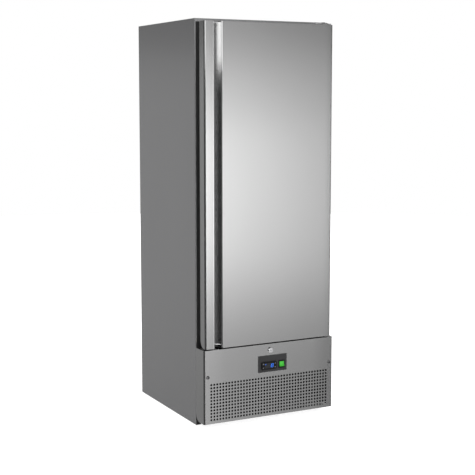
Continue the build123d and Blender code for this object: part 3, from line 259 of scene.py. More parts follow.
class Finish:
    """A node material: one Principled shader with patterns on the object's own coordinates."""

    def __init__(self, name, color, roughness, metallic=0.0):
        self.material = bpy.data.materials.new(name)
        self.material.use_nodes = True
        self.nodes = self.material.node_tree.nodes
        self.links = self.material.node_tree.links
        self.shader = self.nodes["Principled BSDF"]
        self.color = tuple(color)
        self.roughness = roughness
        self.shader.inputs["Metallic"].default_value = metallic
        self.shader.inputs["Base Color"].default_value = (*self.color, 1)
        self.shader.inputs["Roughness"].default_value = roughness
        self.place = self.nodes.new("ShaderNodeTexCoord").outputs["Object"]

    def feeds(self, value, socket):
        """Leads a value to an input of the shader."""
        self.links.new(value, self.shader.inputs[socket])

    def stretched(self, scale):
        """Object coordinates multiplied along X, Y and Z, or all by one number."""
        mapping = self.nodes.new("ShaderNodeMapping")
        mapping.inputs["Scale"].default_value = scale if isinstance(scale, tuple) else (scale, scale, scale)
        self.links.new(self.place, mapping.inputs["Vector"])
        return mapping.outputs["Vector"]

    def noise(self, scale, detail=3.0, sharpness=0.5):
        """Fractal noise, from 0 to 1, on stretched coordinates."""
        texture = self.nodes.new("ShaderNodeTexNoise")
        texture.inputs["Scale"].default_value = 1.0
        texture.inputs["Detail"].default_value = detail
        texture.inputs["Roughness"].default_value = sharpness
        self.links.new(self.stretched(scale), texture.inputs["Vector"])
        return texture.outputs["Fac"]

    def cells(self, scale):
        """A value from 0 to 1 for each Voronoi cell, on stretched coordinates."""
        texture = self.nodes.new("ShaderNodeTexVoronoi")
        texture.inputs["Scale"].default_value = 1.0
        self.links.new(self.stretched(scale), texture.inputs["Vector"])
        split = self.nodes.new("ShaderNodeSeparateColor")
        self.links.new(texture.outputs["Color"], split.inputs["Color"])
        return split.outputs["Red"]

    def ranged(self, value, low, high, start=0.3, end=0.7):
        """The value's range start to end spread to low to high."""
        node = self.nodes.new("ShaderNodeMapRange")
        node.inputs["From Min"].default_value = start
        node.inputs["From Max"].default_value = end
        node.inputs["To Min"].default_value = low
        node.inputs["To Max"].default_value = high
        self.links.new(value, node.inputs["Value"])
        return node.outputs["Result"]

    def shaded(self, value, dark, light, start=0.3, end=0.7):
        """Base colour times dark to light as the value goes from start to end."""
        ramp = self.nodes.new("ShaderNodeValToRGB")
        ramp.color_ramp.elements[0].position = start
        ramp.color_ramp.elements[1].position = end
        ramp.color_ramp.elements[0].color = (*[min(c * dark, 1) for c in self.color], 1)
        ramp.color_ramp.elements[1].color = (*[min(c * light, 1) for c in self.color], 1)
        self.links.new(value, ramp.inputs["Fac"])
        self.feeds(ramp.outputs["Color"], "Base Color")
        return ramp.outputs["Color"]

    def calculated(self, operation, first, second):
        """A math node on two values, either of which may be a plain number."""
        node = self.nodes.new("ShaderNodeMath")
        node.operation = operation
        for socket, value in zip(node.inputs, (first, second)):
            if isinstance(value, (int, float)):
                socket.default_value = value
            else:
                self.links.new(value, socket)
        return node.outputs["Value"]

    def mean(self, first, second):
        """The mean of two values."""
        return self.calculated("MULTIPLY", self.calculated("ADD", first, second), 0.5)

    def times(self, first, second):
        """The product of two values."""
        return self.calculated("MULTIPLY", first, second)

    both = times

    def either(self, first, second):
        """The larger of two values."""
        return self.calculated("MAXIMUM", first, second)

    def along(self, axis, absolute=False):
        """A coordinate of the object, or its distance from the middle plane."""
        split = self.nodes.new("ShaderNodeSeparateXYZ")
        self.links.new(self.place, split.inputs["Vector"])
        return self.calculated("ABSOLUTE", split.outputs[axis], 0.0) if absolute else split.outputs[axis]

    def over(self, axis, limit, soft=1 * MM):
        """1 past the limit along an axis, 0 before it, with a soft edge."""
        return self.ranged(self.along(axis), 0.0, 1.0, limit - soft / 2, limit + soft / 2)

    def under(self, axis, limit, soft=1 * MM, absolute=False):
        """1 before the limit along an axis, 0 past it, with a soft edge."""
        return self.ranged(self.along(axis, absolute), 1.0, 0.0, limit - soft / 2, limit + soft / 2)

    def mixed(self, share, first, second):
        """A colour that goes from the first to a fixed second one as the share goes from 0 to 1."""
        node = self.nodes.new("ShaderNodeMix")
        node.data_type = "RGBA"
        self.links.new(share, node.inputs[0])
        self.links.new(first, node.inputs[6])
        node.inputs[7].default_value = (*second, 1)
        return node.outputs[2]

    def rough(self, value, spread):
        """Roughness that swings by the spread round the finish's own."""
        low, high = self.roughness - spread, self.roughness + spread
        self.feeds(self.ranged(value, low, high), "Roughness")

    def raised(self, value, strength, distance):
        """Bump of the given height in metres."""
        bump = self.nodes.new("ShaderNodeBump")
        bump.inputs["Strength"].default_value = strength
        bump.inputs["Distance"].default_value = distance
        self.links.new(value, bump.inputs["Height"])
        self.feeds(bump.outputs["Normal"], "Normal")

    def lit(self, color, strength):
        """Glow of the given colour and strength."""
        self.shader.inputs["Emission Color"].default_value = (*color, 1)
        self.shader.inputs["Emission Strength"].default_value = strength


def brushed_steel(name, color, roughness, grain, grip=False, black_and_shade=None, bow=None, metallic=1.0):
    """Stainless sheet: fine streaks along the grain, a slow drift of tone, and gloss stretched across it.

    With grip, the channel of the door is glossier and brighter. The function for black and shade gives a
    share of 1
    where the sheet is black and matt: black paint on the hinge heads, and painted shade on the cabinet's
    front strip and machine space. With bow, (edge, reach, lean), the sheet springs back next to its upright
    bends: over the reach before the edge its height falls as the square of the way, up to the lean at the
    edge.
    """
    finish = Finish(name, color, roughness, metallic)
    streaks = finish.noise(grain, detail=4.0, sharpness=0.6)
    drift = finish.noise((3.0, 3.0, 1.2), detail=2.0)
    tone = finish.shaded(finish.mean(streaks, drift), 0.98, 1.02)
    gloss = finish.ranged(streaks, roughness - 0.01, roughness + 0.01)
    if grip:
        inside = finish.both(finish.over("X", GRIP_X[0]), finish.under("X", GRIP_X[1]))
        tone = finish.mixed(inside, tone, (GRIP_COLOR, GRIP_COLOR, GRIP_COLOR))
        gloss = finish.times(gloss, finish.ranged(inside, 1.0, GRIP_GLOSS, 0, 1))
    # Where the share is 1 the sheet turns black and matt: black paint on the hinge heads, painted shade on
    # the cabinet's front strip and machine space
    if black_and_shade:
        share = black_and_shade(finish)
        tone = finish.mixed(share, tone, BLACK_AND_SHADE_COLOR)
        gloss = finish.either(gloss, finish.ranged(share, 0.0, 0.5, 0, 1))
        finish.feeds(finish.ranged(share, metallic, 0.0, 0, 1), "Metallic")
    finish.feeds(tone, "Base Color")
    finish.feeds(gloss, "Roughness")
    if bow:
        edge, reach, lean = bow
        way = finish.ranged(finish.along("X", absolute=True), 0.0, 1.0, edge - reach, edge)
        finish.raised(finish.calculated("SUBTRACT", 1.0, finish.times(way, way)), 1.0, lean * reach / 2)
    else:
        finish.raised(streaks, 0.008, 0.00002)
    finish.shader.inputs["Anisotropic"].default_value = 1.0
    return finish.material


def galvanised(name, color):
    """Zinc-coated sheet: spangles of a few centimetres, each with its own tone and gloss."""
    finish = Finish(name, color, 0.42, metallic=1.0)
    spangles = finish.cells(70.0)
    finish.shaded(spangles, 0.82, 1.12, 0.0, 1.0)
    finish.feeds(finish.ranged(spangles, 0.34, 0.5, 0, 1), "Roughness")
    finish.raised(finish.noise(400.0), 0.2, 0.00003)
    return finish.material


def moulded(name, color, roughness, grain=900.0, tint=0.05, shine=0.5):
    """Moulded plastic or rubber: an even colour with a fine skin of grain and a slow drift of tone."""
    finish = Finish(name, color, roughness)
    finish.shader.inputs["Specular IOR Level"].default_value = shine
    skin = finish.noise(grain, detail=2.0)
    finish.shaded(finish.noise(14.0), 1 - tint, 1 + tint)
    finish.rough(skin, 0.06)
    finish.raised(skin, 0.3, 0.00004)
    return finish.material


def painted(name, color, roughness):
    """Paint on metal: orange-peel ripple, a clear coat, and a slow drift of tone."""
    finish = Finish(name, color, roughness)
    finish.shaded(finish.noise(9.0), 0.92, 1.08)
    ripple = finish.noise(160.0, detail=1.0)
    finish.rough(ripple, 0.04)
    finish.raised(ripple, 0.25, 0.00008)
    finish.shader.inputs["Coat Weight"].default_value = 0.3
    finish.shader.inputs["Coat Roughness"].default_value = 0.15
    return finish.material


def turned_metal(name, color, roughness, tarnish=0.12):
    """Bright machined or drawn metal: faint tool marks and patches of dulled tone."""
    finish = Finish(name, color, roughness, metallic=1.0)
    finish.shaded(finish.noise(45.0), 1 - tarnish, 1 + tarnish)
    marks = finish.noise(1500.0, detail=2.0)
    finish.rough(marks, 0.05)
    finish.raised(marks, 0.2, 0.00002)
    return finish.material


def foam(name, color):
    """Expanded foam: open cells of a millimetre."""
    finish = Finish(name, color, 0.9)
    bubbles = finish.cells(700.0)
    finish.shaded(bubbles, 0.9, 1.05, 0.0, 1.0)
    finish.raised(bubbles, 0.4, 0.0003)
    return finish.material


def smoked_window(name, color):
    """Dark display window: a smoky, slightly uneven tone under a glossy coat."""
    finish = Finish(name, color, 0.12)
    finish.shaded(finish.noise(60.0), 0.85, 1.15)
    finish.raised(finish.noise(250.0), 0.05, 0.00002)
    finish.shader.inputs["Coat Weight"].default_value = 0.5
    finish.shader.inputs["Coat Roughness"].default_value = 0.05
    return finish.material


def lit_lens(name, color, strength, centre, reach):
    """A clear coloured lens with a lamp behind it: the glow falls off with distance from the lamp."""
    finish = Finish(name, color, 0.22)
    ribs = finish.noise(900.0)
    finish.shaded(ribs, 0.85, 1.1)
    finish.raised(ribs, 0.15, 0.00005)
    away = finish.nodes.new("ShaderNodeVectorMath")
    away.operation = "DISTANCE"
    away.inputs[1].default_value = centre
    finish.links.new(finish.place, away.inputs[0])
    glow = finish.ranged(away.outputs["Value"], strength, strength * 0.12, 0.0, reach)
    finish.lit(color, strength)
    finish.feeds(glow, "Emission Strength")
    return finish.material


def glowing(name, color, strength):
    """Lit segments behind a window, a little uneven along their length."""
    finish = Finish(name, color, 0.4)
    patches = finish.noise(500.0)
    finish.shaded(patches, 0.9, 1.1)
    finish.lit(color, strength)
    finish.feeds(finish.ranged(patches, strength * 0.85, strength * 1.15), "Emission Strength")
    return finish.material


# Sizes and colours that a user would change


class FinishSettings(bpy.types.PropertyGroup):
    """Colours and gloss of the sheets, the liner and the control plate"""

    steel_color: FloatVectorProperty(
        name="Steel",
        description="Reflected colour of the stainless sheet",
        subtype="COLOR",
        default=(0.56, 0.56, 0.56),
    )
    # The sides' steel is the door's steel made darker: painted shade on the cabinet's sides
    side_shade_color: FloatVectorProperty(
        name="Side steel",
        description="Reflected colour of the cabinet's sides",
        subtype="COLOR",
        default=(0.385, 0.385, 0.39),
    )
    steel_roughness: FloatProperty(
        name="Steel roughness",
        description="Roughness of the stainless sheet",
        default=0.17,
        min=0.05,
        max=1.0,
    )
    liner_color: FloatVectorProperty(
        name="Liner", description="Colour of the inner liner", subtype="COLOR", default=(0.78, 0.79, 0.79)
    )
    control_color: FloatVectorProperty(
        name="Control plate",
        description="Colour of the control plate",
        subtype="COLOR",
        default=(0.038, 0.038, 0.039),
    )


class DisplaySettings(bpy.types.PropertyGroup):
    """Size, slant and colour of the lit digits"""

    digit_height: FloatProperty(
        name="Digit height",
        description="Height of a digit",
        default=16 * MM,
        subtype="DISTANCE",
        unit="LENGTH",
    )
    digit_width: FloatProperty(
        name="Digit width", description="Width of a digit", default=8 * MM, subtype="DISTANCE", unit="LENGTH"
    )
    stroke: FloatProperty(
        name="Stroke",
        description="Width of a lit segment",
        default=1.7 * MM,
        subtype="DISTANCE",
        unit="LENGTH",
    )
    slant: FloatProperty(name="Slant", description="Lean of the digits, across per height", default=0.14)
    color: FloatVectorProperty(
        name="Colour", description="Colour of the lit segments", subtype="COLOR", default=(0.01, 0.16, 0.85)
    )


class DetailSettings(bpy.types.PropertyGroup):
    """Sizes of the seal, the fan, the louvres and the screws"""

    seal_width: FloatProperty(
        name="Seal width",
        description="Width of the door seal",
        default=14 * MM,
        subtype="DISTANCE",
        unit="LENGTH",
    )
    seal_color: FloatVectorProperty(
        name="Seal", description="Colour of the door seal", subtype="COLOR", default=(0.012, 0.012, 0.013)
    )
    blade_count: IntProperty(name="Blades", description="Number of fan blades", default=5, min=2)
    blade_pitch: FloatProperty(
        name="Blade pitch",
        description="Lean of the fan blades near mid span",
        default=math.radians(28),
        subtype="ANGLE",
    )
    louvre_width: FloatProperty(
        name="Louvre width",
        description="Width of a louvre hood",
        default=134 * MM,
        subtype="DISTANCE",
        unit="LENGTH",
    )
    louvre_height: FloatProperty(
        name="Louvre height",
        description="Height of a louvre hood",
        default=13 * MM,
        subtype="DISTANCE",
        unit="LENGTH",
    )
    louvre_rise: FloatProperty(
        name="Louvre rise",
        description="How far a hood stands out",
        default=4.4 * MM,
        subtype="DISTANCE",
        unit="LENGTH",
    )
    louvre_pitch: FloatVectorProperty(
        name="Louvre pitch",
        description="Spacing across and up",
        size=2,
        default=(180 * MM, 22 * MM),
        unit="LENGTH",
    )
    screw_rise: FloatProperty(
        name="Screw head",
        description="Height of a small head",
        default=2 * MM,
        subtype="DISTANCE",
        unit="LENGTH",
    )
    panel_screw_rise: FloatProperty(
        name="Panel screw head",
        description="Height of a large head",
        default=3 * MM,
        subtype="DISTANCE",
        unit="LENGTH",
    )
    bolt_rise: FloatProperty(
        name="Bolt head",
        description="Height of a bolt's head",
        default=5 * MM,
        subtype="DISTANCE",
        unit="LENGTH",
    )


class StageSettings(bpy.types.PropertyGroup):
    """Floor, lights and lens of the studio"""

    floor_radius: FloatProperty(
        name="Floor", description="Radius of the round floor", default=9.0, subtype="DISTANCE", unit="LENGTH"
    )
    floor_color: FloatVectorProperty(
        name="Floor colour", description="Colour of the floor", subtype="COLOR", default=(0.88, 0.88, 0.88)
    )
    lens: FloatProperty(name="Lens", description="Focal length in millimetres", default=82.793)
    camera_yaw: FloatProperty(
        name="Camera yaw",
        description="Turn of the camera to the right",
        default=math.radians(27.361),
        subtype="ANGLE",
    )
    camera_pitch: FloatProperty(
        name="Camera pitch",
        description="Downward tilt of the camera",
        default=math.radians(6.401),
        subtype="ANGLE",
    )
    floor_glow: FloatProperty(name="Floor glow", description="Even light of the paper", default=0.85)
    dome_strength: FloatProperty(
        name="Dome",
        description="Brightness of the dome over what isn't polished",
        default=0.9,
    )
    key_strength: FloatProperty(
        name="Key light",
        description="Brightness of the panel the grip mirrors",
        default=1.55,
    )
    top_power: FloatProperty(
        name="Top light",
        description="Power of the overhead light",
        default=40.0,
        unit="POWER",
    )


# Operators, one for each piece or group of like pieces


KEYS = [f"thermostat_key_{row}_{side}" for row in ("upper", "lower") for side in ("left", "right")]
SHELVES = [f"evaporator_shelf_{number}" for number in range(1, 7)]


def dress(nodes, material):
    """Gives each named CAD node the material in all its slots."""
    for name in nodes:
        mesh = frame["nodes"][name].data
        mesh.materials.clear()
        mesh.materials.append(material)


class FREEZER_OT_finishes(bpy.types.Operator):
    """Give every shown node of the CAD model its finish"""

    bl_idname = "freezer.finishes"
    bl_label = "Finishes"

    def sheets(self, settings):
        """Stainless, galvanised and painted sheet of the cabinet, the door and the base."""
        steel, side = tuple(settings.steel_color), tuple(settings.side_shade_color)
        rough = settings.steel_roughness
        upright_grain, crosswise_grain = (1400.0, 1400.0, 9.0), (9.0, 1400.0, 1400.0)
        low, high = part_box("side_panel_right")
        machine_top, door_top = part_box("machine_ceiling")[0].z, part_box("door_skin")[1].z

        def land_shade(finish):
            """Painted shade on the front strip that the seal closes on, inside its bends, and on the machine
            space's walls.
            """
            inside = finish.under("X", high.x - LAND_SHADE_EDGE, absolute=True)
            front = finish.both(finish.under("Y", low.y + 1.5 * MM), inside)
            front = finish.both(front, finish.under("Z", door_top + 1 * MM))
            machine_wall_shade = finish.under("X", high.x - 0.5 * MM, 0.6 * MM, absolute=True)
            return finish.either(front, finish.both(machine_wall_shade, finish.under("Z", machine_top)))

        door_bow = (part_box("door_skin")[1].x, *DOOR_BOW)
        door = brushed_steel("door_steel", steel, rough, upright_grain, grip=True, bow=door_bow)
        dress(["door_skin"], door)
        base_bow = (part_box("base_panel")[1].x, *BASE_BOW)
        dress(["base_panel"], brushed_steel("base_panel_steel", steel, rough, crosswise_grain, bow=base_bow))
        # The sides and top take a darker copy of the door's steel: painted shade
        cabinet = brushed_steel("cabinet_steel", side, rough, upright_grain, black_and_shade=land_shade, metallic=0.85)
        dress(["side_panel_left", "side_panel_right", "top_panel"], cabinet)
        dress(["front_frame"], painted("frame_coating", (0.72, 0.73, 0.72), 0.35))
        zinc = galvanised("galvanised_sheet", (0.5, 0.51, 0.52))
        dress(["rear_panel", "rear_cover", "roller_brackets", "lock_cam"], zinc)
        # Black coat on the machine space's sheet, shroud and condenser: partly their own black paint, partly
        # painted shade, so the grille's holes show dark
        black_coat_and_shade = painted("black_coat_and_machine_shade", (0.006, 0.006, 0.0065), 0.55)
        dress(["fan_shroud", "condenser_fins", "condenser_tube", "machine_ceiling"], black_coat_and_shade)
        dress(["base_frame", "panel_brackets"], black_coat_and_shade)
        plate_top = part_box("top_hinge_bracket")[1].z - HINGE_HEADS

        def heads(finish):
            """The heads that stand on the top hinge plate."""
            return finish.over("Z", plate_top)

        bracket = brushed_steel("hinge_steel", (0.6, 0.6, 0.6), 0.3, crosswise_grain, black_and_shade=heads)
        dress(["top_hinge_bracket", "bottom_hinge_bracket"], bracket)

    def cold_side(self, settings):
        """Liner, shelves, foam and the small parts of the cold space."""
        dress(["insulation_foam", "door_foam"], foam("insulating_foam", (0.72, 0.63, 0.42)))
        liner = moulded("liner_plastic", settings.liner_color, 0.38, grain=500.0)
        dress(["inner_liner", "door_liner", "shelf_rails"], liner)
        dress([*SHELVES, "evaporator_links"], painted("shelf_coating", (0.74, 0.75, 0.75), 0.35))
        grey = moulded("grey_plastic", (0.30, 0.31, 0.32), 0.45)
        dress(["temperature_probe", "hinge_bushes", "drain_tube", "evaporation_tray"], grey)
        dress(["door_end_caps"], moulded("end_cap_plastic", (0.05, 0.05, 0.052), 0.5))

    def controls(self, settings):
        """Control plate, thermostat, mains switch and lock."""
        plate_grey = moulded("control_plate_grey", settings.control_color, 0.5, grain=1200.0, shine=0.1)
        dress(["control_plate"], plate_grey)
        black = moulded("black_plastic", (0.006, 0.006, 0.007), 0.45, grain=1100.0, shine=0.2)
        dress(["thermostat_body", "switch_body", "cord_gland", "compressor_terminal_cover"], black)
        dress(["thermostat_window"], smoked_window("display_window", (0.008, 0.009, 0.012)))
        dress(KEYS, moulded("key_plastic", (0.02, 0.02, 0.022), 0.5, grain=1300.0, shine=0.3))
        low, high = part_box("switch_rocker")
        lamp = (low.x + 0.35 * (high.x - low.x), low.y, low.z + 0.62 * (high.z - low.z))
        dress(["switch_rocker"], lit_lens("green_lens", (0.04, 0.34, 0.03), 0.75, lamp, 15 * MM))
        dress(["lock_body", "lock_plug"], turned_metal("lock_chrome", (0.85, 0.85, 0.86), 0.2, tarnish=0.05))

    def machine(self):
        """Compressor, fan motor, pipework, feet and rollers."""
        dress(["compressor"], painted("compressor_black", (0.018, 0.018, 0.02), 0.32))
        dress(["compressor_mounts"], moulded("mount_rubber", (0.03, 0.03, 0.03), 0.7, grain=600.0))
        # The pipework's copper is darkened far below copper's own colour: painted shade of the machine space
        dress(["refrigerant_lines", "filter_drier"], turned_metal("copper_in_painted_shade", (0.05, 0.032, 0.024), 0.5))
        dress(["fan_motor"], turned_metal("motor_metal", (0.2, 0.2, 0.21), 0.42))
        # The feet are much darker than their steel: painted shade, so they don't show bright through the
        # grille
        shaded_feet = turned_metal("foot_steel", (0.1, 0.1, 0.105), 0.5)
        dress(["levelling_foot_left", "levelling_foot_right"], shaded_feet)
        dress(["rear_roller_left", "rear_roller_right"], moulded("roller_plastic", (0.08, 0.08, 0.085), 0.45))

    def execute(self, context):
        settings = context.scene.freezer_finish
        self.sheets(settings)
        self.cold_side(settings)
        self.controls(settings)
        self.machine()
        return {"FINISHED"}


SEGMENTS = {"1": "bc", "8": "abcdefg"}


def segment_outlines(digit, width, height, stroke):
    """Hexagonal bars of a seven-segment digit, with its lower left corner at the origin."""
    half, reach, gap = stroke / 2, height / 2, stroke * 0.12
    end, top = width - half, reach - half
    across = np.array([(0, 0), (half, half), (end, half), (width, 0), (end, -half), (half, -half)])
    across = across * ((width - 2 * gap) / width, 1) + (gap, 0)
    upright = np.array([(0, 0), (half, half), (half, top), (0, reach), (-half, top), (-half, half)])
    upright = upright * (1, (reach - 2 * gap) / reach) + (0, gap)
    places = {
        "a": (across, (0, height)),
        "b": (upright, (width, reach)),
        "c": (upright, (width, 0)),
        "d": (across, (0, 0)),
        "e": (upright, (0, 0)),
        "f": (upright, (0, reach)),
        "g": (across, (0, reach)),
    }
    return [places[letter][0] + places[letter][1] for letter in SEGMENTS[digit]]


class FREEZER_OT_display(bpy.types.Operator):
    """Make the two lit digits and the running lamp of the thermostat"""

    bl_idname = "freezer.display"
    bl_label = "Display"

    def execute(self, context):
        settings = context.scene.freezer_display
        low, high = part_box("thermostat_window")
        front, back = low.y - 0.35 * MM, low.y + 0.2 * MM
        width, height, stroke = settings.digit_width, settings.digit_height, settings.stroke
        gap, margin = 3.2 * MM, 4.5 * MM
        left = high.x - 2 * width - gap - margin
        bottom = (low.z + high.z) / 2 - height / 2
        shapes = []
        for place, digit in enumerate("18"):
            for outline in segment_outlines(digit, width, height, stroke):
                leaned = outline + np.stack([settings.slant * outline[:, 1], 0 * outline[:, 1]], axis=1)
                shapes.append(plate(leaned + (left + place * (width + gap), bottom), front, back))
        turn = np.linspace(0, 2 * math.pi, 20, endpoint=False)
        lamp_radius, lamp_inset, lamp_drop = 1.6 * MM, 4.0 * MM, 6.0 * MM
        lamp = np.stack([np.cos(turn), np.sin(turn)], axis=1) * lamp_radius
        shapes.append(plate(lamp + (low.x + lamp_inset, high.z - lamp_drop), front, back))
        lit = glowing("lit_segments", settings.color, 0.55)
        piece("display_digits", joined(shapes), lit, "cabinet", smooth_below=20)
        return {"FINISHED"}


def flat_ring(outer, inner, x, z, front, back, sides=28):
    """A washer in the XZ plane: a rectangular section turned about Y, p = (x + r cos t, y, z + r sin t)."""
    r = np.array([outer, outer, inner, inner])[:, None]
    y = np.array([front, back, back, front])[:, None]
    t = np.linspace(0, 2 * math.pi, sides, endpoint=False)[None, :]
    points = np.stack([x + r * np.cos(t), np.broadcast_to(y, (4, sides)), z + r * np.sin(t)], axis=-1)
    return points.reshape(-1, 3), grid_faces(4, sides, round_rows=True, round_columns=True)


class FREEZER_OT_key_marks(bpy.types.Operator):
    """Put a plain printed mark on each of the four thermostat keys: up, down, a ring and three bars"""

    bl_idname = "freezer.key_marks"
    bl_label = "Key marks"

    def mark(self, key, x, z, front, back):
        """The mark of one key: triangles are three points, bars are rectangles one over the other."""
        size = 2.1 * MM
        triangle = size * np.array([(-1, -0.8), (1, -0.8), (0, 1)])
        if key == "thermostat_key_upper_right":
            return plate(triangle + (x, z), front, back)
        if key == "thermostat_key_lower_right":
            return plate(triangle * (1, -1) + (x, z), front, back)
        if key == "thermostat_key_lower_left":
            return flat_ring(size, 0.55 * size, x, z, front, back)
        bar = size * np.array([(-1, -0.22), (1, -0.22), (1, 0.22), (-1, 0.22)])
        return joined([plate(bar + (x, z + step * 0.8 * size), front, back) for step in (-1, 0, 1)])

    def execute(self, context):
        print_white = moulded("printed_mark", (0.32, 0.32, 0.33), 0.6, tint=0.08)
        placed = frame["record"]["behaviour"]["bodies"]
        bodies = {node: body for body, nodes in placed.items() for node in nodes}
        for key in KEYS:
            low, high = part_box(key)
            middle = (low + high) / 2
            shape = self.mark(key, middle.x, middle.z, low.y - 0.15 * MM, low.y + 0.1 * MM)
            name = key.replace("thermostat_key", "key_mark")
            piece(name, shape, print_white, bodies[key], smooth_below=20)
        return {"FINISHED"}


class FREEZER_OT_seal(bpy.types.Operator):
    """Make the magnetic door seal: a foot in the door, a folded bellows and a rounded magnet head"""

    bl_idname = "freezer.seal"
    bl_label = "Door seal"

    def execute(self, context):
        settings = context.scene.freezer_detail
        low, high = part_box("door_gasket")
        half, deep = settings.seal_width / 2, high.y - low.y
        right = [(1, 0), (1, 0.1), (0.72, 0.16), (0.45, 0.2), (0.95, 0.3), (0.97, 0.36)]
        right += [(0.5, 0.46), (0.98, 0.55), (1, 0.6), (1, 0.9), (0.96, 0.96), (0.86, 1)]
        right = np.array(right) * (half, deep)
        section = np.concatenate([right, right[::-1] * (-1, 1)])
        x = high.x - half
        z = (low.z + half, high.z - half)
        rubber = moulded("seal_rubber", settings.seal_color, 0.6)
        ring = framed(section, x, z, low.y)
        piece("door_seal", ring, rubber, "door", ["door_gasket"], smooth_below=50)
        return {"FINISHED"}


class FREEZER_OT_fan(bpy.types.Operator):
    """Make the condenser fan: hub with its shaft, and five twisted, cambered blades"""

    bl_idname = "freezer.fan"
    bl_label = "Condenser fan"

    def blade(self, turn, tip, settings, middle):
        """One blade as closed sections from hub to tip.

        At span s and section angle a, the point lies c cos a along the chord and m (1 - cos^2 a) + k sin a
        off it, with c the half chord, m the camber and k the half thickness. The chord leans by the pitch,
        which eases from root to tip, and the blade sweeps forward as s^1.5. The way along the chord is
        measured round the circle of its radius.
        """
        s = np.linspace(0, 1, 14)[:, None]
        a = np.linspace(0, 2 * math.pi, 24, endpoint=False)[None, :]
        root, camber, thickness = 20 * MM, 3.2 * MM, 0.9 * MM
        radius = root + s * (tip - root)
        chord = (20 + 11 * s) * MM * (1 - 0.4 * s**8)
        along = chord * np.cos(a)
        off = camber * (1 - np.cos(a) ** 2) + thickness * np.sin(a)
        pitch = settings.blade_pitch * (1.25 - 0.4 * s)
        around = along * np.cos(pitch) - off * np.sin(pitch)
        forward = along * np.sin(pitch) + off * np.cos(pitch)
        angle = turn + 0.3 * s**1.5 + around / radius
        rings = np.stack([radius * np.sin(angle), forward, radius * np.cos(angle)], axis=-1)
        return loft(rings + np.asarray(middle))

    def execute(self, context):
        settings = context.scene.freezer_detail
        low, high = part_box("fan_blades")
        x, z = (low.x + high.x) / 2, (low.z + high.z) / 2
        tip = (high.z - low.z) / 2 - 0.5 * MM
        front, hub, shaft = low.y + 0.5 * MM, 30 * MM, high.y - low.y - 0.5 * MM
        radii = np.array([8, 20, 27, 29.4, 30, 30, 27, 27, 12, 12, 4, 4]) * MM
        steps = np.array([0, 0.4, 1.6, 3.6, 6.5, 28, 28.6, 30]) * MM
        heights = [*steps, hub, hub + 3 * MM, hub + 3 * MM, shaft]
        body = turned(radii, heights, 48, (x, front, z), (0, 1, 0))
        middle = (x, front + hub / 2, z)
        turns = 2 * math.pi * np.arange(settings.blade_count) / settings.blade_count
        shape = joined([body, *[self.blade(turn, tip, settings, middle) for turn in turns]])
        metal = turned_metal("fan_aluminium", (0.62, 0.63, 0.64), 0.35)
        piece("fan_wheel", shape, metal, "fan", ["fan_blades"], smooth_below=40)
        return {"FINISHED"}


class FREEZER_OT_louvres(bpy.types.Operator):
    """Raise a pressed hood over each air slot of the rear cover"""

    bl_idname = "freezer.louvres"
    bl_label = "Louvres"

    def hood(self, x, z, settings, surface):
        """A hood that bulges by d sqrt(1 - u^8) sin(v pi / 2), with u across and v down to its lip."""
        u = np.linspace(-1, 1, 17)[None, :]
        v = np.linspace(0, 1, 6)[:, None]
        bulge = np.sqrt(np.clip(1 - u**8, 0, 1)) * np.sin(v * math.pi / 2)
        across = np.broadcast_to(x + u * settings.louvre_width / 2, bulge.shape)
        up = np.broadcast_to(z + (0.75 - v) * settings.louvre_height, bulge.shape)
        outer = np.stack([across, surface + settings.louvre_rise * bulge + 0.1 * MM, up], axis=-1)
        inner = outer - (0, 0.9 * MM, 0)
        return loft(np.concatenate([outer, inner[:, ::-1]], axis=1))

    def execute(self, context):
        settings = context.scene.freezer_detail
        low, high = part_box("rear_cover")
        steps = [np.arange(count) - (count - 1) / 2 for count in LOUVRES]
        columns = steps[0] * settings.louvre_pitch[0]
        rows = (low.z + high.z) / 2 + steps[1] * settings.louvre_pitch[1]
        hoods = [self.hood(x, z, settings, high.y) for x in columns for z in rows]
        zinc = galvanised("louvre_zinc", (0.5, 0.51, 0.52))
        piece("louvre_hoods", joined(hoods), zinc, "cabinet", smooth_below=50)
        return {"FINISHED"}


class FREEZER_OT_corner_seals(bpy.types.Operator):
    """Put a black foam block behind each rounded lower corner of the base panel's returns, as shade in the
    notch there
    """

    bl_idname = "freezer.corner_seals"
    bl_label = "Corner seals"

    def block(self, side, low, high):
        """A block with rounded upright edges: rings of |u|^8 + |v|^8 = 1 carried up, drawn in at the ends."""
        middle, half = (low + high) / 2, (high - low) / 2
        t = np.linspace(0, 2 * math.pi, 32, endpoint=False)[None, :]
        up = np.array([-1, -0.97, -0.9, 0.9, 0.97, 1])[:, None]
        drawn = np.array([0.86, 0.97, 1, 1, 0.97, 0.86])[:, None]
        u = drawn * np.sign(np.cos(t)) * np.abs(np.cos(t)) ** 0.25
        v = drawn * np.sign(np.sin(t)) * np.abs(np.sin(t)) ** 0.25
        across = side * (middle[0] + half[0] * u)
        deep = middle[1] + half[1] * v
        height = middle[2] + half[2] * up + 0 * u
        return loft(np.stack([across, deep, height], axis=-1))

    def execute(self, context):
        panel_low, panel_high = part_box("base_panel")
        across, deep, up = CORNER_SEAL_ACROSS, CORNER_SEAL_DEEP, CORNER_SEAL_UP
        low = np.array([panel_high.x - across[1], panel_high.y - deep[1], panel_low.z + up[0]])
        high = np.array([panel_high.x - across[0], panel_high.y - deep[0], panel_low.z + up[1]])
        rubber = moulded("corner_shade_foam", (0.01, 0.01, 0.011), 0.7, grain=400.0, shine=0.1)
        blocks = joined([self.block(side, low, high) for side in (-1, 1)])
        piece("corner_seals", blocks, rubber, "cabinet", smooth_below=60)
        return {"FINISHED"}


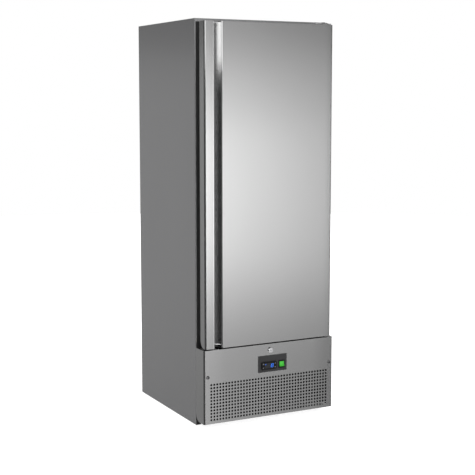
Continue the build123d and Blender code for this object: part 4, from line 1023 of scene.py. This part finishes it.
class FREEZER_OT_screws(bpy.types.Operator):
    """Make the screws of the base panel, the rear cover and the hinges, and the compressor's bolts"""

    bl_idname = "freezer.screws"
    bl_label = "Screws"

    def places(self):
        """Where the separate solids of the screw set lie, as (low, high) corners.

        Triangles share corner places, so solids are found by spreading the lowest vertex number along
        the edges.
        """
        mesh = frame["nodes"]["screws"].data
        points = np.empty(len(mesh.vertices) * 3)
        mesh.vertices.foreach_get("co", points)
        points, same = np.unique(points.reshape(-1, 3).round(6), axis=0, return_inverse=True)
        ends = np.empty(len(mesh.edges) * 2, int)
        mesh.edges.foreach_get("vertices", ends)
        ends = same.reshape(-1)[ends].reshape(-1, 2)
        label = np.arange(len(points))
        while True:
            spread = label.copy()
            np.minimum.at(spread, ends[:, 0], label[ends[:, 1]])
            np.minimum.at(spread, ends[:, 1], label[ends[:, 0]])
            if (spread == label).all():
                break
            label = spread[spread]
        solids = [points[label == one] for one in np.unique(label)]
        return [(solid.min(axis=0), solid.max(axis=0)) for solid in solids]

    def execute(self, context):
        settings = context.scene.freezer_detail
        shapes = []
        for low, high in self.places():
            middle, size = (low + high) / 2, high - low
            if size[2] > size[1]:
                rise = settings.bolt_rise
                seat = (middle[0], middle[1], high[2] - rise)
                shapes.append(bolt(seat, size[0] / 2, rise, BOLT_SHANK, size[2] - rise))
                continue
            behind = middle[1] > 0
            head = size[0] / 2
            large = head > LARGE_HEAD
            rise = settings.panel_screw_rise if large else settings.screw_rise
            outward = (0, 1, 0) if behind else (0, -1, 0)
            seat = (middle[0], high[1] - rise if behind else low[1] + rise, middle[2])
            wide = LARGE_HEAD_SPREAD * head if large else head
            shapes.append(screw(seat, outward, wide, rise, 0.5 * head, size[1] - rise))
        steel = turned_metal("screw_steel", (0.24, 0.24, 0.245), 0.3)
        piece("screw_set", joined(shapes), steel, "cabinet", ["screws"], smooth_below=32)
        return {"FINISHED"}


# Each light of the studio: brightness round the horizon (degrees right of the front) and up from it
STUDIO_LIGHTS = (
    (
        ((-180, 0.95), (-160, 0.98), (-147, 0.9), (-134, 0.2), (-115, 0.05), (-60, 0.02), (-42, 0), (-8, 0),
         (2, 0.15), (10, 1.1), (22, 1.15), (34, 0.4), (50, 0.35), (75, 0.9), (120, 1.2), (180, 0.95)),
        ((-90, 0.35), (-18, 0.35), (-13, 0.39), (-8, 0.43), (-1, 0.44), (3, 0.27), (9, 0.1), (15, 0.05),
         (45, 0.05), (60, 0.4), (75, 0.8), (90, 0.9)),
    ),
    (
        ((-180, 0), (-4, 0), (4, 1), (12, 1), (23, 1), (32, 0), (60, 0), (180, 0)),
        ((-90, 0), (-30, 0.1), (-23, 0.4), (-18, 0.46), (-15, 0.45), (-13.5, 0.47), (-11.9, 0.7), (-9.8, 1.2),
         (-6.5, 1.85), (-3.8, 1.95), (-1, 1.5), (1.2, 1.05), (3, 0.7), (8, 0.3), (14, 0), (90, 0)),
    ),
    (
        ((-180, 1), (180, 1)),
        ((-90, 0.4), (-26, 0.4), (-19, 0), (90, 0)),
    ),
    (
        ((-180, 0), (-92, 0), (-76, 1), (-48, 1), (-40, 0), (180, 0)),
        ((-90, 0.4), (-30, 0.5), (-21, 0.45), (-16, 0.13), (4, 0.13), (12, 0.3), (30, 0.2), (50, 0), (90, 0)),
    ),
    (
        ((-180, 1), (-100, 1), (-60, 0), (42, 0), (60, 1), (180, 1)),
        ((-90, 0), (4, 0), (12, 0.25), (25, 0.35), (45, 0.35), (70, 0), (90, 0)),
    ),
)

# The bright panel that the grip channel mirrors: from, to and softness, in degrees round and up
KEY_ROUND = (-52, 0, 8.0)
KEY_UP = (1.6, 16, 0.8)


class FREEZER_OT_stage(bpy.types.Operator):
    """Set up the floor, the studio light and the camera"""

    bl_idname = "freezer.stage"
    bl_label = "Studio"

    def floor(self, settings):
        """A flat pale disc under the object: rings of points at growing radii round the middle.

        The paper is lit evenly. It carries a painted shadow under the object and a little past its right
        side, so that no pale paper shows through the grille. Polished sheet doesn't mirror it, as in a studio
        where the paper is cut short.
        """
        turn = np.linspace(0, 2 * math.pi, 96, endpoint=False)
        radii = settings.floor_radius * np.linspace(0, 1, 8)[1:]
        x, y = radii[:, None] * np.cos(turn), radii[:, None] * np.sin(turn)
        points = np.stack([x, y, 0 * x], axis=-1).reshape(-1, 3)
        faces = [face[::-1] for face in grid_faces(len(radii), len(turn), round_columns=True)]
        mesh = bpy.data.meshes.new("studio_floor")
        mesh.from_pydata(points.tolist(), [], [*faces, list(range(len(turn)))])
        finish = Finish("floor_paper", settings.floor_color, 0.6)
        low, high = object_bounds()

        def edged(axis, start, end):
            """1 between two edges along an axis, each a (place out from the box, softness) pair."""
            first = finish.over(axis, getattr(low, axis.lower()) - start[0], start[1])
            return finish.both(first, finish.under(axis, getattr(high, axis.lower()) + end[0], end[1]))

        # Painted shadow: under the object and a little past its right side the paper goes nearly black and
        # stops glowing
        shade = finish.both(edged("X", SHADE_LEFT, SHADE_RIGHT), edged("Y", SHADE_FRONT, SHADE_BACK))
        tone = finish.shaded(finish.noise(1.5), 0.99, 1.01)
        finish.feeds(finish.mixed(shade, tone, (0.02, 0.02, 0.02)), "Base Color")
        finish.lit((1, 1, 1), settings.floor_glow)
        finish.feeds(finish.ranged(shade, settings.floor_glow, 0.0, 0, 1), "Emission Strength")
        mesh.materials.append(finish.material)
        made = bpy.data.objects.new("studio_floor", mesh)
        made.visible_glossy = False
        bpy.context.scene.collection.objects.link(made)
        made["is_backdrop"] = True

    def softbox(self, name, power, size, place, target):
        """A square area light that looks at a point, and that neither camera nor polish sees."""
        light = bpy.data.lights.new(name, "AREA")
        light.shape = "SQUARE"
        light.size = size
        light.energy = power
        made = bpy.data.objects.new(name, light)
        made.location = place
        made.rotation_mode = "QUATERNION"
        made.rotation_quaternion = (Vector(target) - Vector(place)).to_track_quat("-Z", "Y")
        made.visible_camera = False
        made.visible_glossy = False
        bpy.context.scene.collection.objects.link(made)

    def sky(self, settings):
        """White where the camera looks past the object, an even dome for what isn't polished, and a studio
        for what is: a dim room with soft lights, each one curve round the horizon times one up from it.
        """
        world = bpy.data.worlds.new("studio")
        bpy.context.scene.world = world
        world.use_nodes = True
        nodes, links = world.node_tree.nodes, world.node_tree.links
        nodes.clear()
        split = nodes.new("ShaderNodeSeparateXYZ")
        links.new(nodes.new("ShaderNodeTexCoord").outputs["Generated"], split.inputs["Vector"])

        def math_node(operation, first, second=0.0):
            """A math node on two values, either of which may be a plain number."""
            node = nodes.new("ShaderNodeMath")
            node.operation = operation
            for socket, value in zip(node.inputs, (first, second)):
                if isinstance(value, (int, float)):
                    socket.default_value = value
                else:
                    links.new(value, socket)
            return node.outputs["Value"]

        azimuth = math_node("ARCTAN2", split.outputs["X"], math_node("MULTIPLY", split.outputs["Y"], -1.0))
        height = math_node("ARCSINE", split.outputs["Z"])

        def spread(angle, start, end, low=0.0, high=1.0, kind="LINEAR"):
            """The angle's range in degrees spread to low to high."""
            node = nodes.new("ShaderNodeMapRange")
            node.interpolation_type = kind
            node.inputs["From Min"].default_value = math.radians(start)
            node.inputs["From Max"].default_value = math.radians(end)
            node.inputs["To Min"].default_value = low
            node.inputs["To Max"].default_value = high
            links.new(angle, node.inputs["Value"])
            return node.outputs["Result"]

        def curve(angle, stops):
            """A smooth line through (degrees, value) stops."""
            first, last = stops[0][0], stops[-1][0]
            ramp = nodes.new("ShaderNodeFloatCurve")
            line = ramp.mapping.curves[0]
            top = max(value for degrees, value in stops)
            while len(line.points) < len(stops):
                line.points.new(0.5, 0.5)
            for point, (degrees, value) in zip(line.points, stops):
                point.location = ((degrees - first) / (last - first), value / top)
                point.handle_type = "AUTO_CLAMPED"
            ramp.mapping.update()
            links.new(spread(angle, first, last), ramp.inputs["Value"])
            return math_node("MULTIPLY", ramp.outputs["Value"], top)

        def panel(angle, start, end, soft):
            """1 between two angles in degrees, with an edge that is soft by the given degrees."""
            rise = spread(angle, start - soft / 2, start + soft / 2, kind="SMOOTHSTEP")
            fall = spread(angle, end - soft / 2, end + soft / 2, 1.0, 0.0, kind="SMOOTHSTEP")
            return math_node("MULTIPLY", rise, fall)

        def shown(strength):
            """A white background of the given strength."""
            node = nodes.new("ShaderNodeBackground")
            node.inputs["Color"].default_value = (1, 1, 1, 1)
            if isinstance(strength, float):
                node.inputs["Strength"].default_value = strength
            else:
                links.new(strength, node.inputs["Strength"])
            return node.outputs["Background"]

        def chosen(share, first, second):
            """The first background where the share is 0, and the second where it is 1."""
            node = nodes.new("ShaderNodeMixShader")
            links.new(share, node.inputs["Fac"])
            links.new(first, node.inputs[1])
            links.new(second, node.inputs[2])
            return node.outputs["Shader"]

        key = math_node("MULTIPLY", panel(azimuth, *KEY_ROUND), panel(height, *KEY_UP))
        total = math_node("MULTIPLY", key, settings.key_strength)
        for round_stops, up_stops in STUDIO_LIGHTS:
            light = math_node("MULTIPLY", curve(azimuth, round_stops), curve(height, up_stops))
            total = math_node("ADD", total, light)
        path = nodes.new("ShaderNodeLightPath")
        dome = math_node("MULTIPLY", spread(height, -90, 90, *DOME_RANGE), settings.dome_strength)
        unseen = chosen(path.outputs["Is Diffuse Ray"], shown(total), shown(dome))
        out = nodes.new("ShaderNodeOutputWorld")
        links.new(chosen(path.outputs["Is Camera Ray"], unseen, shown(1.0)), out.inputs["Surface"])
        world.cycles.sampling_method = "NONE"

    def camera(self, settings):
        """The photograph's viewpoint: front left, a little above the middle, with a slight downward tilt."""
        data = bpy.data.cameras.new("camera")
        data.sensor_width = FILM_WIDTH
        data.lens = settings.lens
        data.shift_y = CAMERA_SHIFT
        made = bpy.data.objects.new("camera", data)
        made.location = CAMERA_PLACE
        made.rotation_euler = (math.pi / 2 - settings.camera_pitch, 0, -settings.camera_yaw)
        bpy.context.scene.collection.objects.link(made)
        bpy.context.scene.camera = made

    def execute(self, context):
        settings = context.scene.freezer_stage
        context.scene.view_settings.view_transform = "Standard"
        self.floor(settings)
        self.sky(settings)
        self.softbox("top_softbox", settings.top_power, TOP_LIGHT_SIZE, TOP_LIGHT_PLACE, (0, 0, 0))
        self.camera(settings)
        return {"FINISHED"}


class FREEZER_PT_panel(bpy.types.Panel):
    """Sidebar panel that lists the dressing steps and their settings"""

    bl_label = "Freezer"
    bl_idname = "FREEZER_PT_panel"
    bl_space_type = "VIEW_3D"
    bl_region_type = "UI"
    bl_category = "Freezer"

    def draw(self, context):
        layout = self.layout
        for step in STEPS:
            layout.operator(step.bl_idname)
        for group in SETTINGS:
            box = layout.box()
            settings = getattr(context.scene, group)
            for name in settings.bl_rna.properties.keys():
                if name not in ("rna_type", "name"):
                    box.prop(settings, name)


STEPS = (
    FREEZER_OT_finishes,
    FREEZER_OT_display,
    FREEZER_OT_key_marks,
    FREEZER_OT_seal,
    FREEZER_OT_fan,
    FREEZER_OT_louvres,
    FREEZER_OT_corner_seals,
    FREEZER_OT_screws,
    FREEZER_OT_stage,
)
SETTINGS = {
    "freezer_finish": FinishSettings,
    "freezer_display": DisplaySettings,
    "freezer_detail": DetailSettings,
    "freezer_stage": StageSettings,
}


def register():
    """Registers the settings, the steps and the sidebar panel."""
    for name, group in SETTINGS.items():
        bpy.utils.register_class(group)
        setattr(bpy.types.Scene, name, PointerProperty(type=group))
    for step in STEPS:
        bpy.utils.register_class(step)
    bpy.utils.register_class(FREEZER_PT_panel)


def unregister():
    """Takes them away again, the last one first."""
    bpy.utils.unregister_class(FREEZER_PT_panel)
    for step in reversed(STEPS):
        bpy.utils.unregister_class(step)
    for name, group in SETTINGS.items():
        delattr(bpy.types.Scene, name)
        bpy.utils.unregister_class(group)


def main():
    """Runs every step in order."""
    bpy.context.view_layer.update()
    register()
    bpy.ops.freezer.finishes()
    bpy.ops.freezer.display()
    bpy.ops.freezer.key_marks()
    bpy.ops.freezer.seal()
    bpy.ops.freezer.fan()
    bpy.ops.freezer.louvres()
    bpy.ops.freezer.corner_seals()
    bpy.ops.freezer.screws()
    bpy.ops.freezer.stage()


if __name__ == "__main__":
    main()
